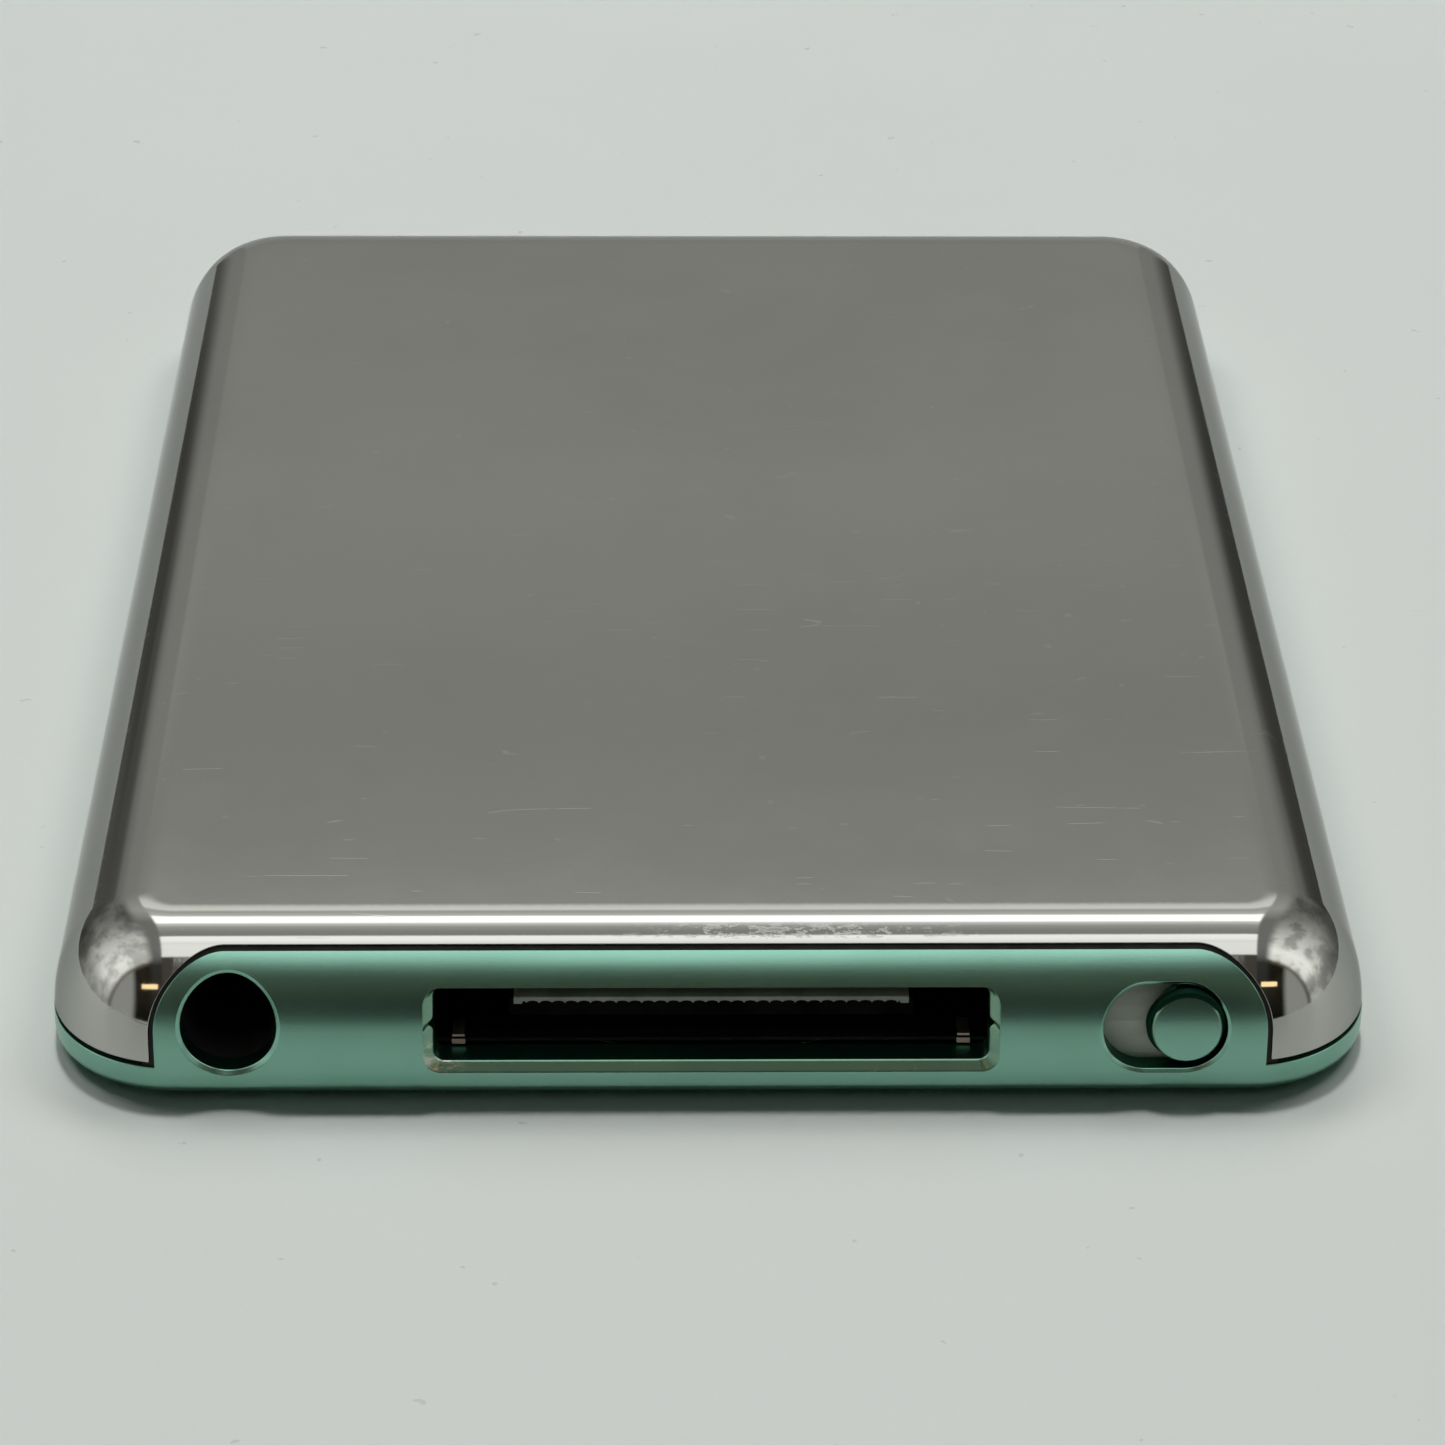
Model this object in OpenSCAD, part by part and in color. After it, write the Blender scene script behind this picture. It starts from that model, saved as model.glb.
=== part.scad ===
// Square-format pocket audio player, lying face down with its port edge towards -Y.
// An anodised front case carries a display, a rocking click wheel and a centre button.
// Its lower edge rises as a tongue through a notch in the polished steel rear cover.
// The tongue holds a 3.5 mm headphone jack, a wide dock connector and a sliding hold switch.
// Origin: middle of the face that rests on the table. +X right, +Y away from the ports, +Z up.

/* [Body] */
// Overall width across the short side, mm
body_w = 52.3; // [51.8:0.1:53.0]
// Overall height along the long side, mm
body_l = 69.8; // [69.4:0.1:70.6]
// Overall thickness, mm
body_t = 6.5; // [6.4:0.05:6.7]
// Plan radius of the four corners, mm
corner_r = 5.2; // [5.0:0.1:5.6]
// Height above the face where the body is widest, mm
widest_z = 0.8; // [0.7:0.05:1.0]
// How far the back rounds in from the side, mm
back_round = 4.3; // [4.0:0.1:4.5]
// Fullness of the back curve: 2 is an ellipse, more is squarer
back_power = 2.3; // [2.1:0.05:2.5]
// How far the face edge rounds in from the side, mm
face_round = 1.7; // [1.2:0.1:2.0]
// Height of the seam between the front case and the rear cover, mm
seam_z = 1.62; // [1.5:0.01:1.7]
// Width of the dark seam all round, mm
seam_gap = 0.22; // [0.16:0.01:0.24]

/* [Shells] */
// Thickness of the front case's face plate, mm
face_wall = 0.6; // [0.55:0.01:0.62]
// Thickness of the front case's side wall, mm
case_wall = 1.1; // [1.0:0.05:1.15]
// Thickness of the pressed steel rear cover, mm
cover_wall = 0.4; // [0.3:0.05:0.45]
// Half width of the tongue that carries the ports, mm
tongue_half_w = 21.7; // [21.6:0.05:21.8]
// Height of the tongue above the face, mm
tongue_top = 5.86; // [5.8:0.01:5.92]
// Radius of the tongue's two top corners, mm
tongue_r = 2.8; // [2.3:0.1:2.8]

/* [Ports] */
// Headphone hole centre, along X from the middle, mm
jack_x = -18.78; // [-18.85:0.01:-18.7]
// Headphone hole centre above the face, mm
jack_z = 3.33; // [3.28:0.01:3.36]
// Headphone bore radius through the case and the socket, mm
jack_bore_r = 1.86; // [1.84:0.01:1.88]
// Dock slot width, mm
dock_w = 21.64; // [21.4:0.02:21.8]
// Dock slot height, mm
dock_h = 2.72; // [2.6:0.02:2.76]
// Dock slot centre above the face, mm
dock_z = 3.4; // [3.38:0.01:3.42]
// Number of contacts in the dock connector
dock_pins = 30; // [20:1:30]
// Hold slot length, mm
hold_l = 4.85; // [4.8:0.01:4.9]
// Hold slot height, mm
hold_h = 3.34; // [3.3:0.01:3.38]
// Hold slot centre, along X from the middle, mm
hold_x = 17.7; // [17.65:0.01:17.75]
// Hold slot centre above the face, mm
hold_z = 3.13; // [3.1:0.01:3.15]
// Hold knob radius, mm
knob_r = 1.385; // [1.34:0.005:1.4]
// Hold knob travel from unlocked to locked, mm
hold_travel = 1.7; // [1.5:0.1:1.7]

/* [Face] */
// Display window width, mm
window_w = 44.6; // [43.6:0.2:44.8]
// Display window height, mm
window_l = 33.3; // [32.5:0.1:33.5]
// Display window centre, along Y from the middle, mm
window_y = 14.5; // [14.4:0.05:14.6]
// Click wheel opening radius, mm
wheel_r = 13.0; // [12.8:0.05:13.0]
// Click wheel centre, along Y from the middle, mm
wheel_y = -18.5; // [-18.6:0.05:-18.4]
// Centre button radius, mm
button_r = 5.0; // [4.8:0.05:5.0]

/* [Hidden] */

hw = body_w / 2;
hl = body_l / 2;
rise = body_t - widest_z;
back_steps = 12;
face_steps = 6;
port_y = -hl;
slot_r = hold_h / 2;
knob_x = hold_x + hold_l / 2 - 0.2 - knob_r;
wheel_gap = 0.2;
dock_pitch = 0.5;

aluminium_green = [0.52, 0.66, 0.58];
steel_grey = [0.62, 0.62, 0.60];
black_plastic = [0.05, 0.05, 0.05];
board_green = [0.06, 0.22, 0.16];
gold = [0.80, 0.62, 0.28];
polyimide = [0.72, 0.42, 0.10];

// A point on the back curve, moved inwards by off. Angle t runs from 0 (widest) to 90 (flat back).
// It gives [distance in from the side, height].
function su(t) = pow(max(cos(t), 0.0001), 2 / back_power);
function sv(t) = pow(max(sin(t), 0.0001), 2 / back_power);
function nx(t) = pow(su(t), back_power - 1) / back_round;
function nz(t) = pow(sv(t), back_power - 1) / rise;
function nl(t) = sqrt(nx(t) * nx(t) + nz(t) * nz(t));
function back_pt(t, off) = [back_round * (1 - su(t)) + off * nx(t) / nl(t),
                            widest_z + rise * sv(t) - off * nz(t) / nl(t)];
function back_pts(off) = [for (i = [0 : back_steps]) back_pt(90 * i / back_steps, off)];

// A point on the face's rounded edge. Angle t runs from 0 (on the table) to 90 (widest).
function face_pt(t) = [face_round * (1 - sin(t)), widest_z * (1 - cos(t))];
function face_pts() = [for (i = [0 : face_steps - 1]) face_pt(90 * i / face_steps)];

// The whole side profile as [distance in, height], outside (off = 0) or a straight-sided inside.
function side_pts(off, z0) = off == 0 ? concat(face_pts(), back_pts(0))
                                      : concat([[off, z0]], back_pts(off));

// Turns a side profile into a closed half section that reaches in to the axis.
function half_section(pts, h) = concat([[0, pts[0][1]]], [for (p = pts) [h - p[0], p[1]]],
                                       [[0, pts[len(pts) - 1][1]]]);

// Turns a side profile into a whole section, mirrored about the axis.
function full_section(pts, h) = concat([for (p = pts) [h - p[0], p[1]]],
                                       [for (i = [len(pts) - 1 : -1 : 0]) [pts[i][0] - h, pts[i][1]]]);

// The rounded body as one solid, or the space inside it at a wall thickness of off, from z0 up.
module pillow(off, z0) {
    pts = side_pts(off, z0);
    translate([0, hl - corner_r, 0])
        rotate([90, 0, 0])
            linear_extrude(body_l - 2 * corner_r)
                polygon(full_section(pts, hw));
    for (s = [0, 1])
        rotate([0, 0, 180 * s])
            translate([0, hl - corner_r, 0])
                rotate([90, 0, 90])
                    translate([0, 0, corner_r - hw])
                        linear_extrude(body_w - 2 * corner_r)
                            polygon(half_section(pts, corner_r));
    for (q = [0 : 3])
        translate([(q == 0 || q == 3 ? 1 : -1) * (hw - corner_r), (q < 2 ? 1 : -1) * (hl - corner_r), 0])
            rotate([0, 0, 90 * q])
                rotate_extrude(angle = 90, $fn = 64)
                    polygon(half_section(pts, corner_r));
}

// A curved strip that follows the port edge between two depths, from x0 to x1 and z0 to z1.
module port_band(off0, off1, x0, x1, z0, z1) {
    outer = [for (p = side_pts(off0 + 0.0001, 0)) [p[0] - hl, p[1]]];
    inner = [for (p = side_pts(off1, 0)) [p[0] - hl, p[1]]];
    n = len(inner);
    intersection() {
        translate([x0, 0, 0])
            rotate([90, 0, 90])
                linear_extrude(x1 - x0)
                    polygon(concat(outer, [for (i = [n - 1 : -1 : 0]) inner[i]]));
        translate([x0 - 1, -hl - 1, z0])
            cube([x1 - x0 + 2, 8, z1 - z0]);
    }
}

// A rectangle with rounded corners as points, centred on the origin.
function arc_pts(cx, cy, r, a0, steps) = [for (i = [0 : steps])
    [cx + r * cos(a0 + 90 * i / steps), cy + r * sin(a0 + 90 * i / steps)]];
function round_rect(w, l, r, steps = 8) = concat(
    arc_pts(w / 2 - r, l / 2 - r, r, 0, steps), arc_pts(r - w / 2, l / 2 - r, r, 90, steps),
    arc_pts(r - w / 2, r - l / 2, r, 180, steps), arc_pts(w / 2 - r, r - l / 2, r, 270, steps));

// A flat rounded plate centred on x, y between two heights.
module plate(x, y, w, l, z0, z1, r) {
    translate([x, y, z0])
        linear_extrude(z1 - z0)
            polygon(round_rect(w, l, r));
}

// A plain block between two corners.
module block(a, b) {
    translate(a)
        cube([b[0] - a[0], b[1] - a[1], b[2] - a[2]]);
}

// The outline of the tongue seen from the port edge, grown by g.
function tongue_pts(g) = concat([[tongue_half_w + g, -1]],
    arc_pts(tongue_half_w - tongue_r, tongue_top - tongue_r, tongue_r + g, 0, 12),
    arc_pts(tongue_r - tongue_half_w, tongue_top - tongue_r, tongue_r + g, 90, 12),
    [[-tongue_half_w - g, -1]]);

// The tongue's outline as a solid from outside the port edge inwards to depth d.
module tongue_prism(g, d) {
    translate([0, d - hl, 0])
        rotate([90, 0, 0])
            linear_extrude(d + 2)
                polygon(tongue_pts(g));
}

// A round hole along Y from outside the port edge to depth d.
module port_hole(x, z, r, d) {
    translate([x, d - hl, z])
        rotate([90, 0, 0])
            cylinder(r = r, h = d + 2, $fn = 64);
}

module front_case() {
    color(aluminium_green)
    difference() {
        union() {
            intersection() {
                pillow(0, 0);
                block([-40, -50, -1], [40, 50, seam_z]);
            }
            intersection() {
                pillow(0, 0);
                tongue_prism(0, 2.35);
            }
        }
        pillow(case_wall, face_wall);
        // display window
        plate(0, window_y, window_w, window_l, -1, 1, 0.8);
        // click wheel opening
        translate([0, wheel_y, -1])
            cylinder(r = wheel_r, h = 3, $fn = 128);
        // headphone hole and the seat for its socket
        port_hole(jack_x, jack_z, jack_bore_r, 2.5);
        translate([jack_x, -hl + 6, jack_z])
            rotate([90, 0, 0])
                cylinder(r = 2.25, h = 6 - 1.85, $fn = 64);
        block([jack_x - 2.65, -hl + 3.3, 0.9], [jack_x + 2.65, -hl + 6, 5.45]);
        // dock slot and the seat for its connector
        translate([0, -hl + 1.5, dock_z])
            rotate([90, 0, 0])
                linear_extrude(4)
                    polygon(round_rect(dock_w, dock_h, 0.25, 4));
        block([-11.9, -hl + 1.4, 1.82], [11.9, -hl + 6, 5.04]);
        // hold slot and the thinned wall behind it
        for (s = [-1, 1])
            port_hole(hold_x + s * (hold_l / 2 - slot_r), hold_z, slot_r, 1.5);
        block([hold_x - hold_l / 2 + slot_r, -hl - 1, hold_z - slot_r],
              [hold_x + hold_l / 2 - slot_r, -hl + 1.5, hold_z + slot_r]);
        port_band(0.65, 4, 12.8, 22.4, 1.1, 5.1);
    }
}

module rear_cover() {
    color(steel_grey)
    difference() {
        intersection() {
            pillow(0, 0);
            block([-40, -50, seam_z + seam_gap], [40, 50, 9]);
        }
        pillow(cover_wall, -1);
        tongue_prism(seam_gap, 2.75);
    }
}

module seam_gasket() {
    color(black_plastic) {
        difference() {
            translate([0, 0, seam_z])
                linear_extrude(seam_gap)
                    polygon(round_rect(body_w - 0.6, body_l - 0.6, corner_r - 0.3));
            translate([0, 0, seam_z - 1])
                linear_extrude(3)
                    polygon(round_rect(body_w - 1.6, body_l - 1.6, corner_r - 0.8));
            block([-tongue_half_w - 0.05, -hl - 1, 0], [tongue_half_w + 0.05, -hl + 3, 4]);
        }
        intersection() {
            difference() {
                tongue_prism(seam_gap, 2.3);
                tongue_prism(0, 3);
            }
            port_band(0.3, 0.6, -21.9, 21.9, seam_z + seam_gap, 6.2);
        }
    }
}

// One folded spring clip, welded inside the cover and hooked inside the front case's rim.
module cover_clip() {
    rotate([90, 0, 0])
        translate([0, 0, -2.5])
            linear_extrude(5)
                polygon([[hw - 1.35, 1.05], [hw - 1.15, 1.05], [hw - 1.15, 1.72], [hw - 0.85, 1.84],
                         [hw - 0.85, 3.0], [hw - 1.05, 3.0], [hw - 1.05, 1.98], [hw - 1.35, 1.86]]);
}

module cover_clips() {
    color(steel_grey)
    for (s = [0, 1])
        rotate([0, 0, 180 * s])
            for (y = [-21, -2, 17])
                translate([0, s == 0 ? y : -y, 0])
                    cover_clip();
}

module display_window() {
    color([0.12, 0.12, 0.13])
    difference() {
        union() {
            plate(0, window_y, window_w - 0.16, window_l - 0.16, 0.05, 0.7, 0.72);
            plate(0, window_y, window_w + 1.4, window_l + 1.4, 0.64, 0.86, 1.4);
        }
        // edge step on the inside, so that the display sits square
        plate(0, window_y, window_w - 3.2, window_l - 3.2, 0.8, 2, 0.5);
    }
}

module window_adhesive() {
    color(black_plastic)
    difference() {
        plate(0, window_y, window_w + 1.4, window_l + 1.4, face_wall, 0.64, 1.4);
        plate(0, window_y, window_w + 0.1, window_l + 0.1, 0, 2, 0.8);
    }
}

module lcd_glass() {
    color([0.08, 0.09, 0.11])
    plate(0, window_y - 0.1, 46.4, 35.8, 0.9, 1.6, 0.3);
}

module lcd_light_guide() {
    color([0.90, 0.91, 0.90])
    plate(0, window_y - 0.1, 45.6, 35.0, 1.6, 2.1, 0.3);
}

module lcd_tray() {
    color(steel_grey)
    difference() {
        plate(0, window_y - 0.1, 46.8, 36.2, 1.62, 2.25, 0.5);
        plate(0, window_y - 0.1, 45.7, 35.1, 1.0, 2.1, 0.3);
    }
}

module display_flex() {
    color(polyimide) {
        block([-8, -3.0, 2.28], [8, 0.5, 2.36]);
        block([-8, -2.6, 2.36], [8, -2.5, 3.5]);
        block([-8, -6.0, 3.42], [8, -2.6, 3.5]);
    }
}

module display_connector() {
    color(black_plastic)
    difference() {
        block([-8.6, -8.4, 3.35], [8.6, -4.9, 4.1]);
        block([-8.2, -6.1, 3.38], [8.2, -4.0, 3.6]);
    }
}

module midframe() {
    color(steel_grey)
    difference() {
        union() {
            plate(0, 14.6, 48.8, 37.2, 2.45, 2.6, 2.5);
            block([-24.4, -4.0, 1.72], [24.4, -3.85, 2.6]);
            block([-24.4, -20.2, 1.72], [24.4, -3.9, 1.87]);
            block([-15.2, -32.4, 1.72], [12.4, -20.1, 1.87]);
        }
        block([-8.4, -3.2, 2], [8.4, -1.4, 3]);
        for (x = [-1, 1])
            for (y = [4, 24])
                translate([x * 23.7, y, 2])
                    cylinder(r = 0.62, h = 1, $fn = 32);
        for (x = [-11.5, 11.5])
            translate([x, -22.5, 1])
                cylinder(r = 0.62, h = 2, $fn = 32);
        for (x = [-19.5, 19.5])
            translate([x, -7, 1])
                cylinder(r = 0.62, h = 2, $fn = 32);
    }
}

module frame_screws() {
    color([0.25, 0.25, 0.26])
    for (x = [-1, 1])
        for (y = [4, 24])
            translate([x * 23.7, y, 0]) {
                difference() {
                    translate([0, 0, 2.6])
                        cylinder(r = 1.0, h = 0.35, $fn = 32);
                    translate([-0.12, -0.7, 2.75])
                        cube([0.24, 1.4, 1]);
                    translate([-0.7, -0.12, 2.75])
                        cube([1.4, 0.24, 1]);
                }
                translate([0, 0, 2.3])
                    cylinder(r = 0.58, h = 0.3, $fn = 32);
            }
}

module click_wheel() {
    color([0.86, 0.87, 0.85])
    translate([0, wheel_y, 0])
        difference() {
            union() {
                translate([0, 0, 0.12])
                    cylinder(r = wheel_r - wheel_gap, h = 0.7, $fn = 128);
                translate([0, 0, 0.8])
                    cylinder(r = wheel_r + 0.4, h = 0.18, $fn = 128);
            }
            translate([0, 0, -1])
                cylinder(r = button_r + 0.18, h = 3, $fn = 96);
            translate([0, 0, 0.68])
                cylinder(r = button_r + 0.9, h = 3, $fn = 96);
        }
}

module wheel_sensor_disc() {
    color(board_green)
    translate([0, wheel_y, 0]) {
        difference() {
            translate([0, 0, 0.98])
                cylinder(r = wheel_r - 0.3, h = 0.1, $fn = 96);
            translate([0, 0, 0])
                cylinder(r = button_r + 1.5, h = 3, $fn = 96);
        }
        // four press posts, one over each outer dome
        for (a = [0 : 90 : 270])
            rotate([0, 0, a])
                translate([10.3, 0, 1.08])
                    cylinder(r = 0.5, h = 0.17, $fn = 32);
        // two pivot pads on the gimbal's second axis
        for (s = [-1, 1])
            translate([0, s * 7.3, 1.08])
                cylinder(r = 0.4, h = 0.1, $fn = 32);
    }
}

module wheel_gimbal_plate() {
    color([0.72, 0.72, 0.70])
    translate([0, wheel_y, 1.2])
        difference() {
            union() {
                cylinder(r = 8.0, h = 0.08, $fn = 96);
                translate([-8.9, -0.9, 0])
                    cube([17.8, 1.8, 0.08]);
            }
            translate([0, 0, -1])
                cylinder(r = 6.6, h = 3, $fn = 96);
        }
}

module gimbal_anchors() {
    color(steel_grey)
    for (s = [-1, 1])
        translate([s * 8.4, wheel_y, 1.3])
            cylinder(r = 0.4, h = 0.22, $fn = 32);
}

// The centre button's half section: a shallow thumb dish, a straight side and a retaining flange.
function button_pts() = concat(
    [for (i = [0 : 8]) [button_r * i / 8, 0.12 + 0.14 * (1 - pow(i / 8, 2))]],
    [[button_r, 0.85], [button_r + 0.6, 0.85], [button_r + 0.6, 1.03], [0, 1.03]]);

module center_button() {
    color([0.86, 0.87, 0.85])
    translate([0, wheel_y, 0])
        rotate_extrude($fn = 96)
            polygon(button_pts());
}

module button_plunger() {
    color(black_plastic)
    translate([0, wheel_y, 1.03])
        cylinder(r = 0.9, h = 0.12, $fn = 32);
}

module wheel_dome_board() {
    color(board_green)
    translate([0, wheel_y, 1.52])
        cylinder(r = 12.6, h = 0.18, $fn = 96);
}

module tactile_domes() {
    color(steel_grey)
    translate([0, wheel_y, 1.44]) {
        for (a = [0 : 90 : 270])
            rotate([0, 0, a])
                translate([10.3, 0, 0])
                    cylinder(r1 = 1.0, r2 = 1.6, h = 0.08, $fn = 32);
        cylinder(r1 = 1.2, r2 = 2.0, h = 0.08, $fn = 32);
    }
}

module wheel_flex() {
    color(polyimide) {
        block([15.0, -10.5, 1.56], [21.5, -6.0, 1.62]);
        block([12.3, -10.0, 1.56], [15.0, -8.0, 1.62]);
    }
}

module logic_board() {
    color(board_green)
    difference() {
        translate([0, 0, 2.75])
            linear_extrude(0.6)
                polygon([[-22, -2.8], [22, -2.8], [22, -25.4], [13.9, -25.4], [13.9, -26.4],
                         [-15, -26.4], [-15, -20.4], [-22, -20.4]]);
        for (x = [-11.5, 11.5])
            translate([x, -22.5, 0])
                cylinder(r = 0.7, h = 9, $fn = 32);
        for (x = [-19.5, 19.5])
            translate([x, -7, 0])
                cylinder(r = 0.7, h = 9, $fn = 32);
    }
}

module main_processor() {
    color(black_plastic)
    plate(-6.2, -14.6, 10, 10, 3.35, 4.45, 0.3);
}

module flash_memory() {
    color(black_plastic)
    plate(9.2, -14.2, 12, 9.5, 3.35, 4.35, 0.3);
}

module audio_codec() {
    color(black_plastic)
    plate(-17.6, -16.2, 5, 5, 3.35, 4.15, 0.2);
}

module power_chip() {
    color(black_plastic)
    plate(18.9, -20.0, 4, 4, 3.35, 4.15, 0.2);
}

module board_capacitors() {
    color([0.62, 0.50, 0.38]) {
        for (i = [0 : 5])
            block([-20.9 + 1.4 * i, -12.4, 3.35], [-20.1 + 1.4 * i, -10.9, 4.05]);
        for (i = [0 : 6])
            block([17.0, -17.4 + 1.3 * i, 3.35], [18.5, -16.6 + 1.3 * i, 4.05]);
        for (i = [0 : 4])
            block([-9.4 + 1.5 * i, -23.6, 3.35], [-8.6 + 1.5 * i, -22.0, 3.95]);
    }
}

module board_inductors() {
    color([0.30, 0.29, 0.28])
    for (p = [[19.6, -23.4], [3.6, -23.4]])
        plate(p[0], p[1], 2.6, 2.4, 3.35, 4.55, 0.4);
}

module shield_can() {
    color(steel_grey)
    difference() {
        plate(-6.2, -14.6, 12.4, 12.4, 3.35, 4.75, 0.6);
        plate(-6.2, -14.6, 12.0, 12.0, 3.0, 4.6, 0.4);
        for (x = [-2, 0, 2])
            translate([-6.2 + 1.6 * x, -14.6, 4])
                cylinder(r = 0.5, h = 2, $fn = 24);
    }
}

module board_standoffs() {
    color(gold)
    for (p = [[-11.5, -22.5], [11.5, -22.5], [-19.5, -7], [19.5, -7]])
        translate([p[0], p[1], 1.87])
            difference() {
                cylinder(r = 1.3, h = 0.88, $fn = 32);
                translate([0, 0, -1])
                    cylinder(r = 0.6, h = 3, $fn = 32);
            }
}

module board_screws() {
    color([0.25, 0.25, 0.26])
    for (p = [[-11.5, -22.5], [11.5, -22.5], [-19.5, -7], [19.5, -7]])
        translate([p[0], p[1], 0]) {
            difference() {
                translate([0, 0, 3.35])
                    cylinder(r = 1.1, h = 0.4, $fn = 32);
                translate([-0.12, -0.8, 3.52])
                    cube([0.24, 1.6, 1]);
                translate([-0.8, -0.12, 3.52])
                    cube([1.6, 0.24, 1]);
            }
            translate([0, 0, 1.95])
                cylinder(r = 0.58, h = 1.4, $fn = 32);
        }
}

module battery_cell() {
    color([0.66, 0.67, 0.68])
    plate(0, 15.4, 40.5, 30.6, 2.65, 5.5, 1.4);
}

module battery_label() {
    color([0.12, 0.12, 0.12])
    plate(0, 15.4, 30, 20, 5.5, 5.56, 0.6);
}

module battery_leads() {
    color([0.55, 0.10, 0.08])
    for (i = [0 : 2])
        translate([14.6 + 1.4 * i, -2.9, 3.95])
            rotate([-90, 0, 0])
                cylinder(r = 0.35, h = 3.0, $fn = 24);
}

module battery_connector() {
    color([0.88, 0.86, 0.80])
    block([13.6, -5.6, 3.35], [18.8, -2.9, 4.6]);
}

module battery_foam() {
    color([0.16, 0.16, 0.16])
    for (s = [-1, 1])
        plate(s * 9, 15.4, 10, 18, 5.56, 6.08, 0.8);
}

module dock_shell() {
    color(steel_grey)
    difference() {
        block([-11.7, -hl + 1.45, 1.92], [11.7, -26.7, 4.94]);
        block([-11.3, -hl, 2.06], [11.3, -27.2, 4.78]);
    }
}

module dock_housing() {
    color(black_plastic) {
        // rear wall of the socket
        block([-11.3, -29.0, 2.06], [11.3, -27.2, 4.78]);
        // the thin blade that carries the contacts
        block([-7.9, -hl + 1.65, 3.0], [7.9, -29.0, 3.78]);
    }
}

module dock_contacts() {
    color(gold)
    for (i = [0 : dock_pins - 1])
        translate([(i - (dock_pins - 1) / 2) * dock_pitch - 0.13, -hl + 1.6, 3.78])
            cube([0.26, 4.2, 0.08]);
}

module dock_latches() {
    color(steel_grey)
    for (s = [-1, 1])
        translate([s * 9.8, -hl + 1.9, 2.06])
            translate([-0.3, 0, 0])
                cube([0.6, 3.4, 0.4]);
}

module dock_terminals() {
    color(gold)
    for (i = [0 : dock_pins - 1])
        translate([(i - (dock_pins - 1) / 2) * dock_pitch - 0.13, -26.7, 3.36])
            cube([0.26, 1.3, 0.12]);
}

module jack_body() {
    color(black_plastic)
    difference() {
        union() {
            block([jack_x - 2.5, -hl + 3.4, 1.0], [jack_x + 2.5, -20.9, 5.35]);
            translate([jack_x, -hl + 4, jack_z])
                rotate([90, 0, 0])
                    cylinder(r = 2.15, h = 4 - 1.9, $fn = 64);
        }
        translate([jack_x, -21.4, jack_z])
            rotate([90, 0, 0])
                cylinder(r = jack_bore_r, h = 20, $fn = 64);
        // side pockets for the spring contacts
        for (y = [-30.2, -27.2, -24.2])
            block([jack_x + 2.1, y, 2.2], [jack_x + 3, y + 1.2, 4.4]);
    }
}

module jack_contacts() {
    color(gold)
    for (y = [-30.2, -27.2, -24.2])
        block([jack_x + 2.1, y + 0.1, 2.3], [jack_x + 2.5, y + 1.1, 4.3]);
}

module hold_slider() {
    color(aluminium_green)
    intersection() {
        translate([knob_x, -hl + 3, hold_z])
            rotate([90, 0, 0])
                cylinder(r = knob_r, h = 5, $fn = 64);
        port_band(0.06, 0.85, 15, 21, 1.2, 5.0);
    }
}

module hold_indicator() {
    color([0.56, 0.57, 0.56])
    port_band(0.85, 1.1, 14.7, knob_x, 1.2, 4.95);
}

module hold_lock_mark() {
    color([0.90, 0.38, 0.08])
    port_band(0.85, 1.1, knob_x, 21.9, 1.2, 4.95);
}

module hold_carriage() {
    color(black_plastic)
    difference() {
        port_band(1.1, 3.0, 16.4, 20.6, 2.3, 4.2);
        block([10, -31.8, 0], [30, -20, 9]);
    }
    color(black_plastic)
    block([knob_x - 0.5, -31.8, 2.8], [knob_x + 0.5, -30.65, 3.6]);
}

module hold_switch_body() {
    color([0.75, 0.74, 0.70])
    block([14.4, -30.5, 2.1], [21.4, -26.5, 4.3]);
}

module hold_switch_legs() {
    color(gold)
    for (x = [15.2, 17.7, 20.2])
        block([x, -26.5, 3.36], [x + 0.4, -24.9, 3.5]);
}

front_case();
rear_cover();
seam_gasket();
cover_clips();
display_window();
window_adhesive();
lcd_glass();
lcd_light_guide();
lcd_tray();
display_flex();
display_connector();
midframe();
frame_screws();
click_wheel();
wheel_sensor_disc();
wheel_gimbal_plate();
gimbal_anchors();
center_button();
button_plunger();
wheel_dome_board();
tactile_domes();
wheel_flex();
logic_board();
main_processor();
flash_memory();
audio_codec();
power_chip();
board_capacitors();
board_inductors();
shield_can();
board_standoffs();
board_screws();
battery_cell();
battery_label();
battery_leads();
battery_connector();
battery_foam();
dock_shell();
dock_housing();
dock_contacts();
dock_latches();
dock_terminals();
jack_body();
jack_contacts();
hold_slider();
hold_indicator();
hold_lock_mark();
hold_carriage();
hold_switch_body();
hold_switch_legs();
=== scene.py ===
import math

import bpy
import numpy as np
from mathutils import Matrix, Vector, geometry


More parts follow.
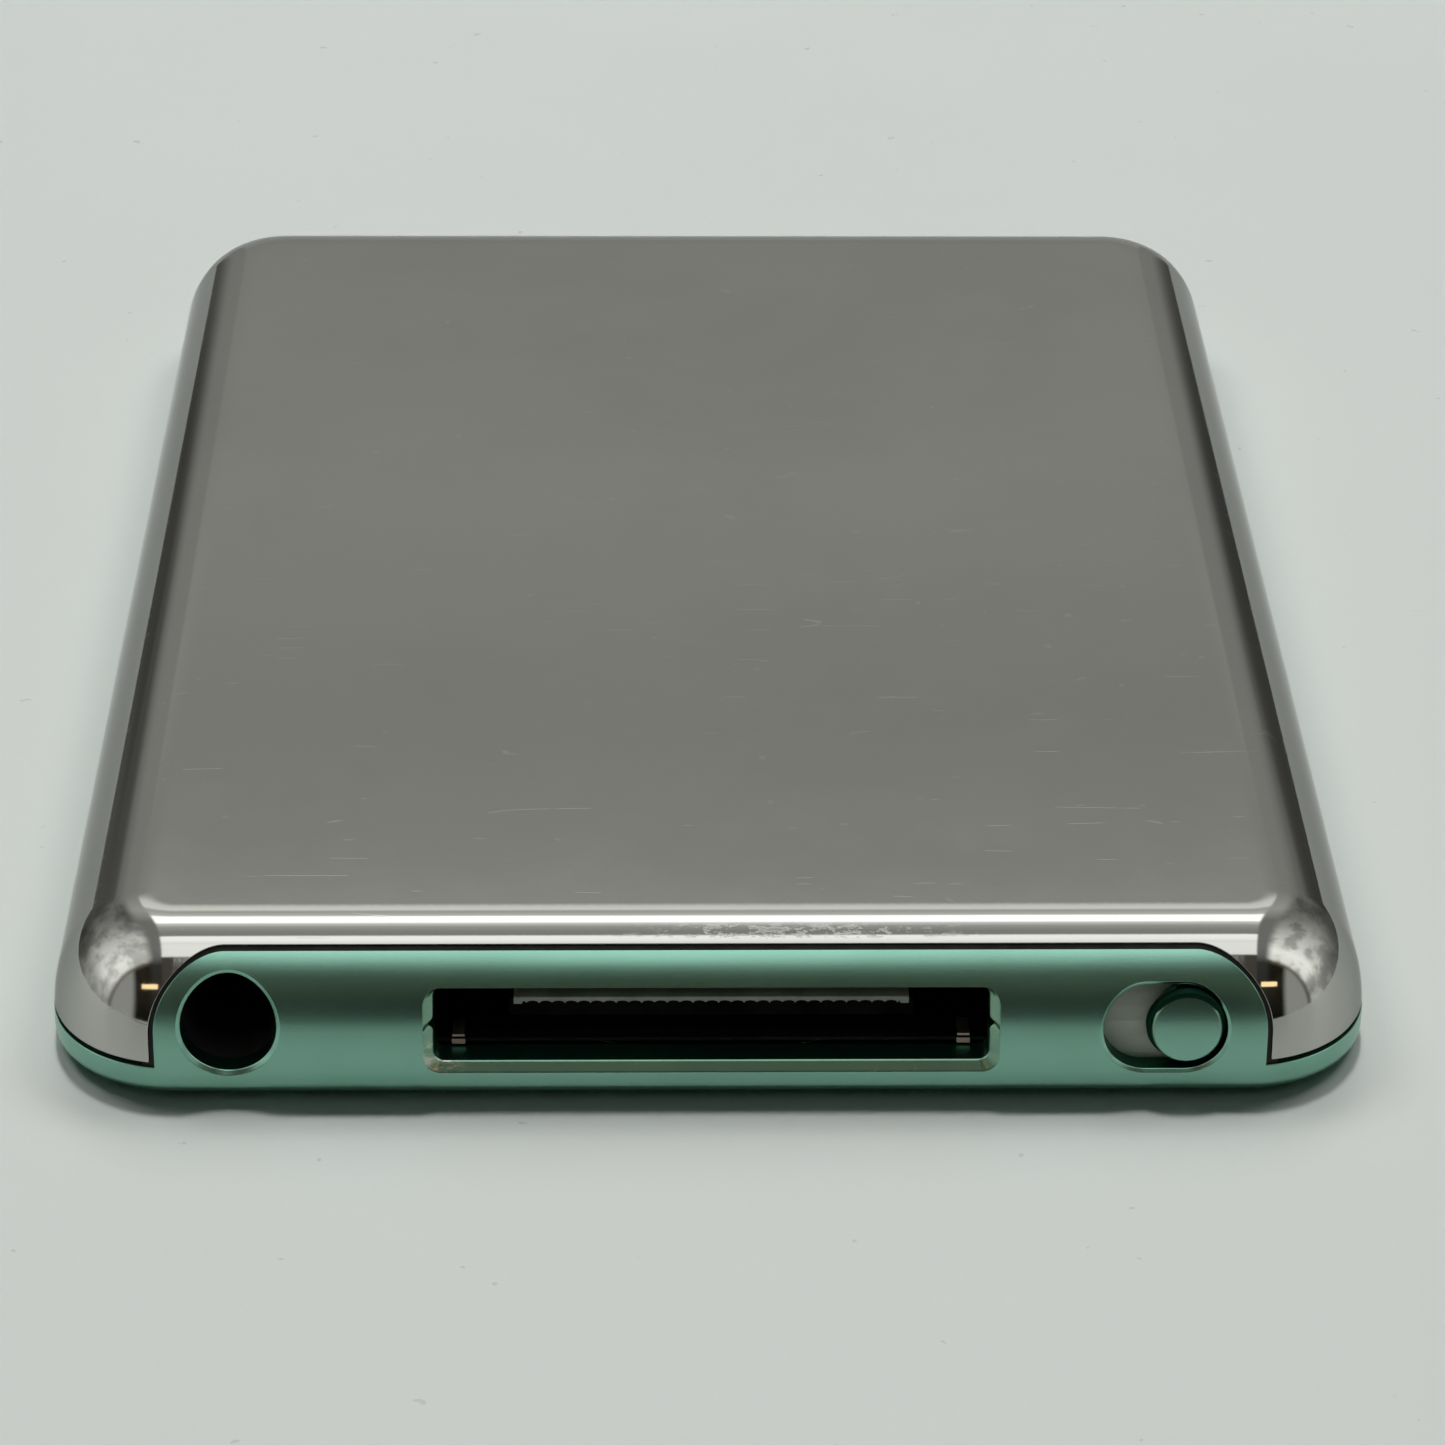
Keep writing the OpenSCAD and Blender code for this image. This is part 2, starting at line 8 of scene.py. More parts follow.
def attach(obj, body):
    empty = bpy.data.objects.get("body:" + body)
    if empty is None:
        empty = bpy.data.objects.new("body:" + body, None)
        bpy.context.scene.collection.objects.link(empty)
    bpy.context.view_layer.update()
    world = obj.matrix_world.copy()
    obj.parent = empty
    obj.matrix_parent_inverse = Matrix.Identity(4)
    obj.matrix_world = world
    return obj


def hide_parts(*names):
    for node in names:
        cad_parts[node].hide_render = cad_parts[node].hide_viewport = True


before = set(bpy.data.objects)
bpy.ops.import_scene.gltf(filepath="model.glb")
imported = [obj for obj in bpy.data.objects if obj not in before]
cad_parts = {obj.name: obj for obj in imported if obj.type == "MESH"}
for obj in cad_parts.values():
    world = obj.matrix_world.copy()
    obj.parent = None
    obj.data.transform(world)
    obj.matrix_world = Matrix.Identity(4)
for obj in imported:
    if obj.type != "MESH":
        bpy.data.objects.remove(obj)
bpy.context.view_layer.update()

# A digital audio player lying on its face: polished steel back, green aluminium front with its ports.
# Lengths below are in millimetres; meshes are scaled to metres when they are built.
MM = 0.001
HALF_W, HALF_L, CORNER = 26.15, 34.9, 5.2
WIDEST, RISE, BACK_ROUND, POWER, FACE_ROUND = 0.8, 5.7, 4.3, 2.3, 1.7
SEAM, GAP = 1.62, 0.22
SIDE_GAP, TOP_GAP = 0.19, 0.105
TONGUE_W, TONGUE_TOP, TONGUE_R = 21.7, 5.86, 2.8
JACK = (-18.78, 3.33, 1.86)
DOCK_W, DOCK_H, DOCK_Z = 21.64, 2.72, 3.40
HOLD_X, HOLD_Z, HOLD_L, HOLD_H = 17.7, 3.13, 4.85, 3.34
KNOB_X, KNOB_R = 18.54, 1.385
WINDOW = (0.0, 14.5, 44.6, 33.3, 0.8)
WHEEL = (0.0, -18.5, 13.0)
KNOB_SIDES = 96
FLANGE_R = 1.56
FACE_SHEET = 0.6
BACKDROP_R = 3.5  # metres; near enough to lie within reach of cameras set further out round the object


def place(name, data):
    obj = bpy.data.objects.new(name, data)
    bpy.context.scene.collection.objects.link(obj)
    return obj


# ---------------------------------------------------------------- camera

def make_camera():
    yaw, pitch, roll = -0.02139, 0.5416, 0.00982
    fwd = Vector((-math.sin(yaw) * math.cos(pitch), math.cos(yaw) * math.cos(pitch), -math.sin(pitch)))
    side = Vector((math.cos(yaw), math.sin(yaw), 0.0))
    top = side.cross(fwd)
    right = side * math.cos(roll) + top * math.sin(roll)
    up = top * math.cos(roll) - side * math.sin(roll)
    data = bpy.data.cameras.new("camera")
    data.lens, data.sensor_width, data.sensor_fit = 109.236, 36.0, "HORIZONTAL"
    data.clip_start, data.clip_end = 0.005, 20.0
    data.dof.use_dof = False
    cam = place("camera", data)
    turn = Matrix((right, up, -fwd)).transposed().to_4x4()
    cam.matrix_world = Matrix.Translation(Vector((-2.6914, -174.4566, 101.3175)) * MM) @ turn
    bpy.context.scene.camera = cam


make_camera()


# ---------------------------------------------------------------- node helpers

class Tree:
    """Short names for adding and linking shader nodes."""

    def __init__(self, tree):
        self.tree = tree
        tree.nodes.clear()

    def add(self, kind, settings=None, **inputs):
        n = self.tree.nodes.new(kind)
        for key, value in (settings or {}).items():
            setattr(n, key, value)
        for key, value in inputs.items():
            socket = n.inputs[int(key[1:])] if key[0] == "i" and key[1:].isdigit() else n.inputs[key.replace("_", " ")]
            self.put(socket, value)
        return n

    def put(self, socket, value):
        if isinstance(value, bpy.types.NodeSocket):
            self.tree.links.new(value, socket)
        else:
            socket.default_value = value

    def math(self, op, a, b=0.0, c=0.0, clamp=False):
        n = self.add("ShaderNodeMath", {"operation": op, "use_clamp": clamp}, i0=a, i1=b)
        if op in ("MULTIPLY_ADD", "COMPARE", "SMOOTH_MIN"):
            self.put(n.inputs[2], c)
        return n.outputs[0]

    def span(self, value, a, b, lo=0.0, hi=1.0, smooth=True):
        """value from a..b mapped to lo..hi, held at the ends."""
        kind = "SMOOTHSTEP" if smooth else "LINEAR"
        n = self.add("ShaderNodeMapRange", {"interpolation_type": kind, "clamp": True}, i0=value, i1=a, i2=b, i3=lo, i4=hi)
        return n.outputs[0]

    def mix(self, factor, a, b):
        n = self.add("ShaderNodeMix", {"data_type": "RGBA"})
        self.put(n.inputs[0], factor)
        self.put(n.inputs[6], a if isinstance(a, bpy.types.NodeSocket) else (*a, 1.0))
        self.put(n.inputs[7], b if isinstance(b, bpy.types.NodeSocket) else (*b, 1.0))
        return n.outputs[2]

    def ramp(self, value, stops):
        n = self.add("ShaderNodeValToRGB", i0=value)
        n.color_ramp.interpolation = "LINEAR"
        while len(n.color_ramp.elements) < len(stops):
            n.color_ramp.elements.new(0.5)
        for e, (at, colour) in zip(n.color_ramp.elements, stops):
            e.position, e.color = at, (*colour, 1.0)
        return n.outputs[0]

    def noise(self, scale, detail=3.0, rough=0.5, vector=None, stretch=None, turn=(0, 0, 0)):
        if vector is None:
            vector = self.add("ShaderNodeTexCoord").outputs["Object"]
        if stretch or any(turn):
            vector = self.add("ShaderNodeMapping", i0=vector, Rotation=turn, Scale=stretch or (1, 1, 1)).outputs[0]
        return self.add("ShaderNodeTexNoise", Vector=vector, Scale=scale, Detail=detail, Roughness=rough).outputs[0]

    def lines(self, scale, turn, width=0.006, long=14.0, keep=0.56):
        """Fine hairline scratches that run one way, broken up into short strokes."""
        n = self.noise(scale, 2.0, 0.4, stretch=(1.0 / long, 1.0, 1.0), turn=turn)
        off = self.math("ABSOLUTE", self.math("SUBTRACT", n, 0.5))
        thin = self.math("SUBTRACT", 1.0, self.span(off, 0.0, width), clamp=True)
        patch = self.span(self.noise(scale * 0.9, 1.0, 0.5, turn=(turn[0], turn[1], turn[2] + 0.9)), keep, keep + 0.05)
        return self.math("MULTIPLY", thin, patch)

    def near(self, point, radius, soft=0.6):
        """1 within a radius of a point in the object's frame (metres), falling to 0 outside it."""
        where = self.add("ShaderNodeTexCoord").outputs["Object"]
        gap = self.add("ShaderNodeVectorMath", {"operation": "DISTANCE"}, i0=where, i1=point).outputs["Value"]
        return self.span(gap, radius, radius * (1.0 + soft), 1.0, 0.0)


def material(name, colour, rough, metallic=0.0, bump=None, bump_size=1.0e-6, **constants):
    """A Principled material in its own tree. colour, rough and bump are functions of the tree, or plain values."""
    mat = bpy.data.materials.new(name)
    mat.use_nodes = True
    t = Tree(mat.node_tree)
    out = t.add("ShaderNodeOutputMaterial")
    shader = t.add("ShaderNodeBsdfPrincipled", Metallic=metallic)
    t.put(shader.inputs["Base Color"], colour(t))
    t.put(shader.inputs["Roughness"], rough(t))
    if bump is not None:
        shader_bump = t.add("ShaderNodeBump", Strength=1.0, Distance=bump_size, Height=bump(t))
        t.put(shader.inputs["Normal"], shader_bump.outputs[0])
    for key, value in constants.items():
        shader.inputs[key.replace("_", " ")].default_value = value
    t.put(out.inputs[0], shader.outputs[0])
    return mat


def moulded(name, colour, rough=0.5, grain=9000.0, depth=1.2e-6, vary=0.10, **constants):
    """Moulded plastic: slight colour drift, satin patches and a fine spark-eroded grain."""
    dark = tuple(c * (1.0 - vary) for c in colour)
    light = tuple(min(1.0, c * (1.0 + vary) + 0.004) for c in colour)
    return material(
        name, lambda t: t.mix(t.span(t.noise(650.0, 4.0), 0.35, 0.65), dark, light),
        lambda t: t.span(t.noise(900.0, 3.0), 0.3, 0.7, rough - 0.07, rough + 0.08),
        bump=lambda t: t.noise(grain, 3.0, 0.6), bump_size=depth, **constants)


def stamped(name, colour, rough=0.25, run=(0, 0, 0), **constants):
    """Stamped or plated metal: rolling lines, tarnish patches and hairline scratches."""
    dull = tuple(c * 0.78 for c in colour)
    return material(
        name, lambda t: t.mix(t.span(t.noise(900.0, 4.0), 0.40, 0.72), colour, dull),
        lambda t: t.math("ADD", t.span(t.noise(700.0, 3.0, stretch=(0.08, 1, 1), turn=run),
                                       0.3, 0.7, rough - 0.08, rough + 0.10),
                         t.math("MULTIPLY", t.lines(1500.0, (0.2, 0.4, 1.1)), 0.2)),
        metallic=1.0, bump=lambda t: t.noise(6000.0, 3.0, 0.6, stretch=(0.05, 1, 1), turn=run),
        bump_size=7.0e-7, **constants)


# ---------------------------------------------------------------- materials

def steel_scratches(t):
    a = t.lines(420.0, (0, 0, 0.35), 0.004, 16.0, 0.60)
    b = t.lines(520.0, (0, 0, -1.05), 0.004, 18.0, 0.62)
    c = t.lines(360.0, (0, 0, 1.9), 0.003, 22.0, 0.62)
    return t.math("MAXIMUM", a, t.math("MAXIMUM", b, c))


def scuffs(t):
    """Short rubbed marks in a narrow band along the back's near edge, just behind the tongue."""
    x, y, _ = t.add("ShaderNodeSeparateXYZ", i0=t.add("ShaderNodeTexCoord").outputs["Object"]).outputs
    band = t.math("MULTIPLY", t.span(y, -0.03262, -0.03240), t.span(y, -0.03205, -0.03180, 1.0, 0.0))
    part = t.math("MULTIPLY", t.span(x, -0.0050, 0.0010), t.span(x, 0.0060, 0.0120, 1.0, 0.0))
    speck = t.span(t.noise(3600.0, 5.0, 0.72, stretch=(0.5, 1.0, 1.0)), 0.52, 0.60)
    return t.math("MULTIPLY", t.math("MULTIPLY", band, part), speck)


def dents(t):
    """Sparse pin-prick marks over the polished back."""
    return t.span(t.noise(1100.0, 1.0, 0.5), 0.765, 0.785)


steel = material(
    "steel_mirror",
    lambda t: t.mix(t.math("MAXIMUM", steel_scratches(t), dents(t)),
                    t.mix(t.span(t.noise(70.0, 4.0, 0.6), 0.40, 0.70), (0.448, 0.452, 0.428), (0.425, 0.430, 0.408)),
                    (0.48, 0.48, 0.46)),
    lambda t: t.math("ADD", t.span(t.noise(150.0, 5.0, 0.62), 0.35, 0.75, 0.045, 0.085),
                     t.math("ADD", t.math("MULTIPLY", steel_scratches(t), 0.07), t.math("MULTIPLY", scuffs(t), 0.16))),
    metallic=1.0, Specular_Tint=(0.60, 0.60, 0.60, 1.0),
    bump=lambda t: t.math("ADD", t.math("MULTIPLY", t.noise(300.0, 2.0, 0.4), 0.35),
                          t.math("ADD", t.math("MULTIPLY", t.noise(9000.0, 3.0, 0.6), 0.05),
                                 t.math("SUBTRACT", t.math("MULTIPLY", scuffs(t), 0.26),
                                        t.math("MULTIPLY", steel_scratches(t), 0.09)))),
    bump_size=6.0e-6)


def chamfer_wear(t):
    """Finish rubbed through at the dock slot's lower left corner, and small chips along its lower edge."""
    corner = t.near((-0.0106, -0.03470, 0.00180), 0.00060, 1.0)
    rough_edge = t.span(t.noise(3600.0, 5.0, 0.72, stretch=(0.6, 1, 1.6), turn=(0, 0.6, 0)), 0.46, 0.60)
    chips = t.span(t.noise(2600.0, 4.0, 0.7), 0.66, 0.70)
    spot = t.near((0.0, -0.0347, 0.00175), 0.0110, 0.1)
    return t.math("MAXIMUM", t.math("MULTIPLY", corner, rough_edge),
                  t.math("MULTIPLY", t.math("MULTIPLY", chips, spot), 0.45))


def anodised(name, base, deep, rough=0.25, worn=False, **constants):
    """Dyed aluminium: a fine blasted grain drawn out sideways and slight colour drift."""
    def colour(t):
        tint = t.mix(t.span(t.noise(320.0, 4.0, 0.5), 0.35, 0.70), base, deep)
        return t.mix(chamfer_wear(t), tint, (0.50, 0.55, 0.46)) if worn else tint
    return material(
        name, colour,
        lambda t: t.span(t.noise(420.0, 2.0, 0.4, stretch=(0.3, 1, 1)), 0.25, 0.75, rough - 0.015, rough + 0.015),
        metallic=1.0,
        bump=lambda t: t.math("ADD", t.noise(15000.0, 2.0, 0.6),
                              t.math("MULTIPLY", t.noise(4200.0, 2.0, 0.4, stretch=(0.16, 1, 1)), 0.4)),
        bump_size=1.7e-6, **constants)


green = anodised("aluminium_green", (0.235, 0.465, 0.375), (0.222, 0.445, 0.355))
green_edge = anodised("aluminium_green_cut", (0.21, 0.37, 0.27), (0.18, 0.33, 0.24), 0.30, worn=True)
green_rim = anodised("aluminium_green_rim", (0.24, 0.47, 0.38), (0.21, 0.42, 0.33), 0.24)
# near-black green for the port walls: painted shade inside the holes
green_walls_painted_shade = anodised("aluminium_green_inside_painted_shade", (0.030, 0.150, 0.100), (0.024, 0.125, 0.082), 0.34)
# almost black green for the hold button's foot: painted shade in the slot round the knob
green_flange_painted_shade = anodised("aluminium_green_flange_painted_shade", (0.005, 0.026, 0.016), (0.004, 0.021, 0.013), 0.48)

finish = {
    "display_window": moulded("window_sheet", (0.030, 0.031, 0.034), 0.12, 400.0, 3.0e-7, 0.2,
                              Coat_Weight=0.6, Coat_Roughness=0.05),
    "click_wheel": moulded("wheel_plastic", (0.70, 0.71, 0.69), 0.50, 7000.0, 2.0e-6, 0.04),
    "center_button": moulded("button_plastic", (0.68, 0.69, 0.67), 0.42, 7000.0, 1.6e-6, 0.04),
    "seam_gasket": moulded("gasket_rubber", (0.010, 0.009, 0.010), 0.70, 5000.0, 2.5e-6),
    "cover_clips": stamped("clip_steel", (0.60, 0.59, 0.56), 0.30),
    "window_adhesive": moulded("adhesive_film", (0.05, 0.05, 0.055), 0.60, 2500.0),
    "lcd_glass": moulded("lcd_glass", (0.045, 0.055, 0.060), 0.10, 900.0, 2.0e-7, 0.15,
                         Coat_Weight=0.8, Coat_Roughness=0.03),
    "lcd_light_guide": moulded("light_guide_acrylic", (0.78, 0.80, 0.80), 0.22, 1500.0, 5.0e-7, 0.04),
    "lcd_tray": stamped("tray_steel", (0.56, 0.56, 0.54), 0.32, (0, 0, 1.57)),
    "display_flex": moulded("polyimide_amber", (0.46, 0.20, 0.045), 0.34, 2600.0),
    "wheel_flex": moulded("polyimide_amber_thin", (0.48, 0.21, 0.05), 0.34, 2600.0),
    "display_connector": moulded("connector_nylon", (0.30, 0.27, 0.22), 0.50),
    "battery_connector": moulded("connector_nylon_light", (0.62, 0.60, 0.54), 0.50),
    "midframe": stamped("midframe_magnesium", (0.50, 0.50, 0.49), 0.45),
    "frame_screws": stamped("screw_steel", (0.52, 0.51, 0.50), 0.24),
    "board_screws": stamped("screw_steel_dark", (0.40, 0.39, 0.38), 0.26),
    "wheel_sensor_disc": moulded("sensor_laminate", (0.040, 0.130, 0.075), 0.38),
    "wheel_gimbal_plate": stamped("spring_steel", (0.62, 0.60, 0.56), 0.22),
    "gimbal_anchors": stamped("anchor_steel", (0.50, 0.49, 0.47), 0.30),
    "button_plunger": moulded("plunger_rubber", (0.060, 0.060, 0.062), 0.66),
    "wheel_dome_board": moulded("dome_laminate", (0.035, 0.120, 0.070), 0.38),
    "tactile_domes": stamped("dome_steel", (0.66, 0.64, 0.60), 0.18),
    "logic_board": moulded("board_laminate", (0.028, 0.115, 0.066), 0.36, 4200.0, 1.5e-6, 0.14),
    "main_processor": moulded("chip_epoxy", (0.022, 0.022, 0.024), 0.44),
    "flash_memory": moulded("chip_epoxy_memory", (0.024, 0.024, 0.025), 0.46),
    "audio_codec": moulded("chip_epoxy_audio", (0.026, 0.025, 0.026), 0.43),
    "power_chip": moulded("chip_epoxy_power", (0.021, 0.022, 0.023), 0.47),
    "board_capacitors": moulded("capacitor_ceramic", (0.40, 0.28, 0.17), 0.46, 5200.0, 1.5e-6, 0.16),
    "board_inductors": moulded("ferrite", (0.070, 0.068, 0.066), 0.55),
    "shield_can": stamped("shield_tinplate", (0.66, 0.65, 0.62), 0.28),
    "board_standoffs": stamped("standoff_brass", (0.64, 0.50, 0.24), 0.30),
    "battery_cell": moulded("pouch_foil", (0.46, 0.47, 0.48), 0.30, 1300.0, 4.0e-6, 0.06, Metallic=0.75),
    "battery_label": moulded("label_film", (0.055, 0.058, 0.062), 0.40, 1900.0),
    "battery_leads": moulded("lead_insulation", (0.34, 0.030, 0.026), 0.42),
    "battery_foam": moulded("grey_foam", (0.13, 0.13, 0.135), 0.85, 4800.0, 2.4e-5, 0.24),
    "dock_shell": stamped("dock_steel", (0.060, 0.060, 0.060), 0.40),
    # black plastic made darker still: partly its own colour, partly painted shade inside the dock slot
    "dock_housing": moulded("dock_polymer_painted_shade", (0.0015, 0.0015, 0.0015), 0.70, Specular_IOR_Level=0.03),
    # contact plating kept dark: painted shade for the contacts deep in the dock slot
    "dock_contacts": stamped("dock_contact_plating_painted_shade", (0.20, 0.22, 0.20), 0.45, (0, 0, 1.57)),
    "dock_latches": stamped("latch_steel", (0.86, 0.84, 0.76), 0.36),
    "dock_terminals": stamped("terminal_gold", (0.70, 0.52, 0.22), 0.26),
    "jack_body": moulded("jack_polymer", (0.005, 0.005, 0.005), 0.50),
    "jack_contacts": stamped("jack_spring", (0.66, 0.60, 0.46), 0.30),
    "hold_indicator": moulded("indicator_grey", (0.600, 0.640, 0.550), 0.52, 6000.0, 1.5e-6, 0.05),
    "hold_lock_mark": moulded("indicator_orange", (0.760, 0.130, 0.020), 0.50, 6000.0, 1.5e-6, 0.06),
    "hold_carriage": moulded("carriage_polymer", (0.014, 0.014, 0.015), 0.48),
    "hold_switch_body": moulded("switch_nylon", (0.52, 0.50, 0.44), 0.50),
    "hold_switch_legs": stamped("switch_legs_gold", (0.70, 0.53, 0.24), 0.28),
}
for name, mat in finish.items():
    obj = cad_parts[name]
    for s in obj.material_slots:
        s.link = "OBJECT"
        s.material = mat


# ---------------------------------------------------------------- the pillow-shaped skin

def side_profile():
    """Rows of distance in, height, outward and upward normal, from the face's edge up to the flat back."""
    rows = []
    for i in range(60):
        t = math.pi / 2 * i / 60
        c, s = math.cos(t), math.sin(t)
        rows.append((FACE_ROUND * (1 - s), WIDEST * (1 - c), s / FACE_ROUND, -c / WIDEST))
    for i in range(361):
        t = math.pi / 2 * i / 360
        u, v = max(math.cos(t), 1e-9) ** (2 / POWER), max(math.sin(t), 1e-9) ** (2 / POWER)
        rows.append((BACK_ROUND * (1 - u), WIDEST + RISE * v, u ** (POWER - 1) / BACK_ROUND, v ** (POWER - 1) / RISE))
    table = np.array(rows)
    table[:, 2:] /= np.linalg.norm(table[:, 2:], axis=1)[:, None]
    run = np.concatenate([[0.0], np.cumsum(np.linalg.norm(np.diff(table[:, :2], axis=0), axis=1))])
    return table, run


PROFILE, RUN = side_profile()
STRAIGHT, ARC, SIDE = HALF_W - CORNER, CORNER * math.pi / 2, 2 * (HALF_L - CORNER)
HALF_ROUND = 2 * STRAIGHT + 2 * ARC + SIDE
TOP_RUN = float(RUN[-1])


def run_of(z):
    return float(np.interp(z, PROFILE[:, 1], RUN))


def inset_of(z):
    return float(np.interp(z, PROFILE[:, 1], PROFILE[:, 0]))


def row_at(run):
    inset, z, out, up = (float(np.interp(run, RUN, PROFILE[:, k])) for k in range(4))
    size = math.hypot(out, up)
    return inset, z, out / size, up / size


def outline(u):
    """A point on the widest outline and its outward direction; u runs from the middle of the port side."""
    u = (u + HALF_ROUND) % (2 * HALF_ROUND) - HALF_ROUND
    s, sign = abs(u), 1.0 if u >= 0 else -1.0
    if s <= STRAIGHT:
        x, y, nx, ny = s, -HALF_L, 0.0, -1.0
    elif s <= STRAIGHT + ARC:
        a = (s - STRAIGHT) / CORNER
        nx, ny = math.sin(a), -math.cos(a)
        x, y = STRAIGHT + CORNER * nx, -(HALF_L - CORNER) + CORNER * ny
    elif s <= STRAIGHT + ARC + SIDE:
        x, y, nx, ny = HALF_W, -(HALF_L - CORNER) + s - STRAIGHT - ARC, 1.0, 0.0
    elif s <= STRAIGHT + 2 * ARC + SIDE:
        a = (s - STRAIGHT - ARC - SIDE) / CORNER
        nx, ny = math.cos(a), math.sin(a)
        x, y = STRAIGHT + CORNER * nx, HALF_L - CORNER + CORNER * ny
    else:
        x, y, nx, ny = HALF_ROUND - s, HALF_L, 0.0, 1.0
    return sign * x, y, sign * nx, ny


def skin_point(u, run):
    inset, z, out, up = row_at(run)
    x, y, nx, ny = outline(u)
    return Vector((x - inset * nx, y - inset * ny, z)), Vector((out * nx, out * ny, up)).normalized()


def port_uv(x, z):
    """Where a point of the port side, seen square on, lies on the skin."""
    if abs(x) <= STRAIGHT:
        return x, run_of(z)
    a = math.asin(min(1.0, (abs(x) - STRAIGHT) / (CORNER - inset_of(z))))
    return math.copysign(STRAIGHT + CORNER * a, x), run_of(z)


class Mesh:
    """Vertices with known normals, welded by key, and faces turned to agree with them."""

    def __init__(self):
        self.at, self.normals, self.faces, self.keys = [], [], [], {}

    def vert(self, p, n, key=None):
        if key is not None and key in self.keys:
            return self.keys[key]
        self.at.append(tuple(p))
        self.normals.append(tuple(n))
        if key is not None:
            self.keys[key] = len(self.at) - 1
        return len(self.at) - 1

    def on_skin(self, u, run):
        u = (u + HALF_ROUND) % (2 * HALF_ROUND) - HALF_ROUND
        key = (round(u, 3), round(run, 3))
        if key in self.keys:
            return self.keys[key]
        return self.vert(*skin_point(u, run), key=key)

    def strip(self, a, b, closed=False):
        n = len(a)
        for i in range(n if closed else n - 1):
            j = (i + 1) % n
            self.faces.append((a[i], a[j], b[j], b[i]))

    def build(self, name, mat, body, stands_for=(), slot=None):
        at, normals = np.array(self.at), np.array(self.normals)
        faces = []
        for f in self.faces:
            f = [v for k, v in enumerate(f) if v != f[k - 1]]
            if len(f) < 3:
                continue
            p = at[f]
            area = np.zeros(3)
            for k in range(1, len(f) - 1):
                area += np.cross(p[k] - p[0], p[k + 1] - p[0])
            faces.append(f if area @ normals[f].sum(axis=0) >= 0 else f[::-1])
        mesh = bpy.data.meshes.new(name)
        mesh.from_pydata((at * MM).tolist(), [], faces)
        mesh.polygons.foreach_set("use_smooth", [True] * len(mesh.polygons))
        mesh.update()
        mesh.normals_split_custom_set_from_vertices([tuple(n) for n in normals])
        obj = bpy.data.objects.new(name, mesh)
        bpy.context.scene.collection.objects.link(obj)
        mesh.materials.append(mat)
        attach(obj, body)
        if stands_for:
            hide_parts(*stands_for)
        return obj


def densify(points, step, closed=True):
    """The same loop with extra points so that no edge is longer than step."""
    out, n = [], len(points)
    for i in range(n if closed else n - 1):
        a, b = np.array(points[i]), np.array(points[(i + 1) % n])
        parts = max(1, int(math.ceil(np.linalg.norm(b - a) / step)))
        out += [tuple(a + (b - a) * k / parts) for k in range(parts)]
    if not closed:
        out.append(tuple(points[-1]))
    return out


def inside(points, loops):
    hit = np.zeros(len(points), dtype=bool)
    for loop in loops:
        a = np.array(loop)
        b = np.roll(a, -1, axis=0)
        for (x0, y0), (x1, y1) in zip(a, b):
            if y0 == y1:
                continue
            at = (x1 - x0) * (points[:, 1] - y0) / (y1 - y0) + x0
            cross = ((y0 > points[:, 1]) != (y1 > points[:, 1])) & (points[:, 0] < at)
            hit ^= cross
    return hit


def triangulate(loops, step_u, step_v):
    """Triangles that fill the area between loops, with a grid of points inside it. Returns (points, triangles)."""
    edge_points, edges = [], []
    for loop in loops:
        first = len(edge_points)
        edge_points += [tuple(p) for p in loop]
        edges += [(first + i, first + (i + 1) % len(loop)) for i in range(len(loop))]
    rim = np.array(edge_points)
    lo, hi = rim.min(axis=0), rim.max(axis=0)
    points = edge_points
    if step_u:
        us = np.arange(lo[0] + step_u / 2, hi[0], step_u)
        vs = np.arange(lo[1] + step_v / 2, hi[1], step_v)
        grid = np.array([(u, v) for u in us for v in vs])
        grid = grid[inside(grid, loops)]
        clear = np.ones(len(grid), dtype=bool)
        for k in range(0, len(rim), 400):
            near = np.linalg.norm(grid[:, None, :] - rim[None, k:k + 400, :], axis=2).min(axis=1)
            clear &= near > 0.045
        points = edge_points + [tuple(p) for p in grid[clear]]
    verts, _, faces, *_ = geometry.delaunay_2d_cdt([Vector(p) for p in points], edges, [], 0, 1e-6)
    flat = np.array([(v[0], v[1]) for v in verts])
    middles = np.array([flat[list(f)].mean(axis=0) for f in faces])
    keep = inside(middles, loops)
    return flat, [tuple(f) for f, k in zip(faces, keep) if k]


def rounded_rim(mesh, loop, closed, radius, wall, steps=4):
    """A small rolled edge past a boundary of the skin, which is on the loop's left, and the sheet's thickness behind it."""
    frames = [skin_point(u, run) for u, run in loop]
    n = len(loop)
    rows = [[mesh.on_skin(u, run) for u, run in loop]]
    away = []
    for i in range(n):
        if closed:
            t = frames[(i + 1) % n][0] - frames[i - 1][0]
        else:
            t = frames[min(i + 1, n - 1)][0] - frames[max(i - 1, 0)][0]
        away.append(t.cross(frames[i][1]).normalized())
    for k in range(1, steps + 1):
        a = math.pi / 2 * k / steps
        rows.append([mesh.vert(p + m * radius * math.sin(a) - nrm * radius * (1 - math.cos(a)),
                               nrm * math.cos(a) + m * math.sin(a))
                     for (p, nrm), m in zip(frames, away)])
    rows.append([mesh.vert(p + m * radius - nrm * wall, m) for (p, nrm), m in zip(frames, away)])
    for a, b in zip(rows, rows[1:]):
        mesh.strip(a, b, closed)


EDGE_U = 24.0
RIM = 0.035


def round_columns():
    """Positions along the outline from one end of the port side right round to the other."""
    marks = [EDGE_U, STRAIGHT + ARC, STRAIGHT + ARC + SIDE, STRAIGHT + 2 * ARC + SIDE]
    marks += [2 * HALF_ROUND - m for m in reversed(marks)]
    steps = [0.16, 2.4, 0.16, 2.4, 0.16, 2.4, 0.16]
    out = []
    for a, b, step in zip(marks, marks[1:], steps):
        parts = max(1, int(math.ceil((b - a) / step)))
        out += [a + (b - a) * k / parts for k in range(parts)]
    return out + [marks[-1]]


ROUND = round_columns()


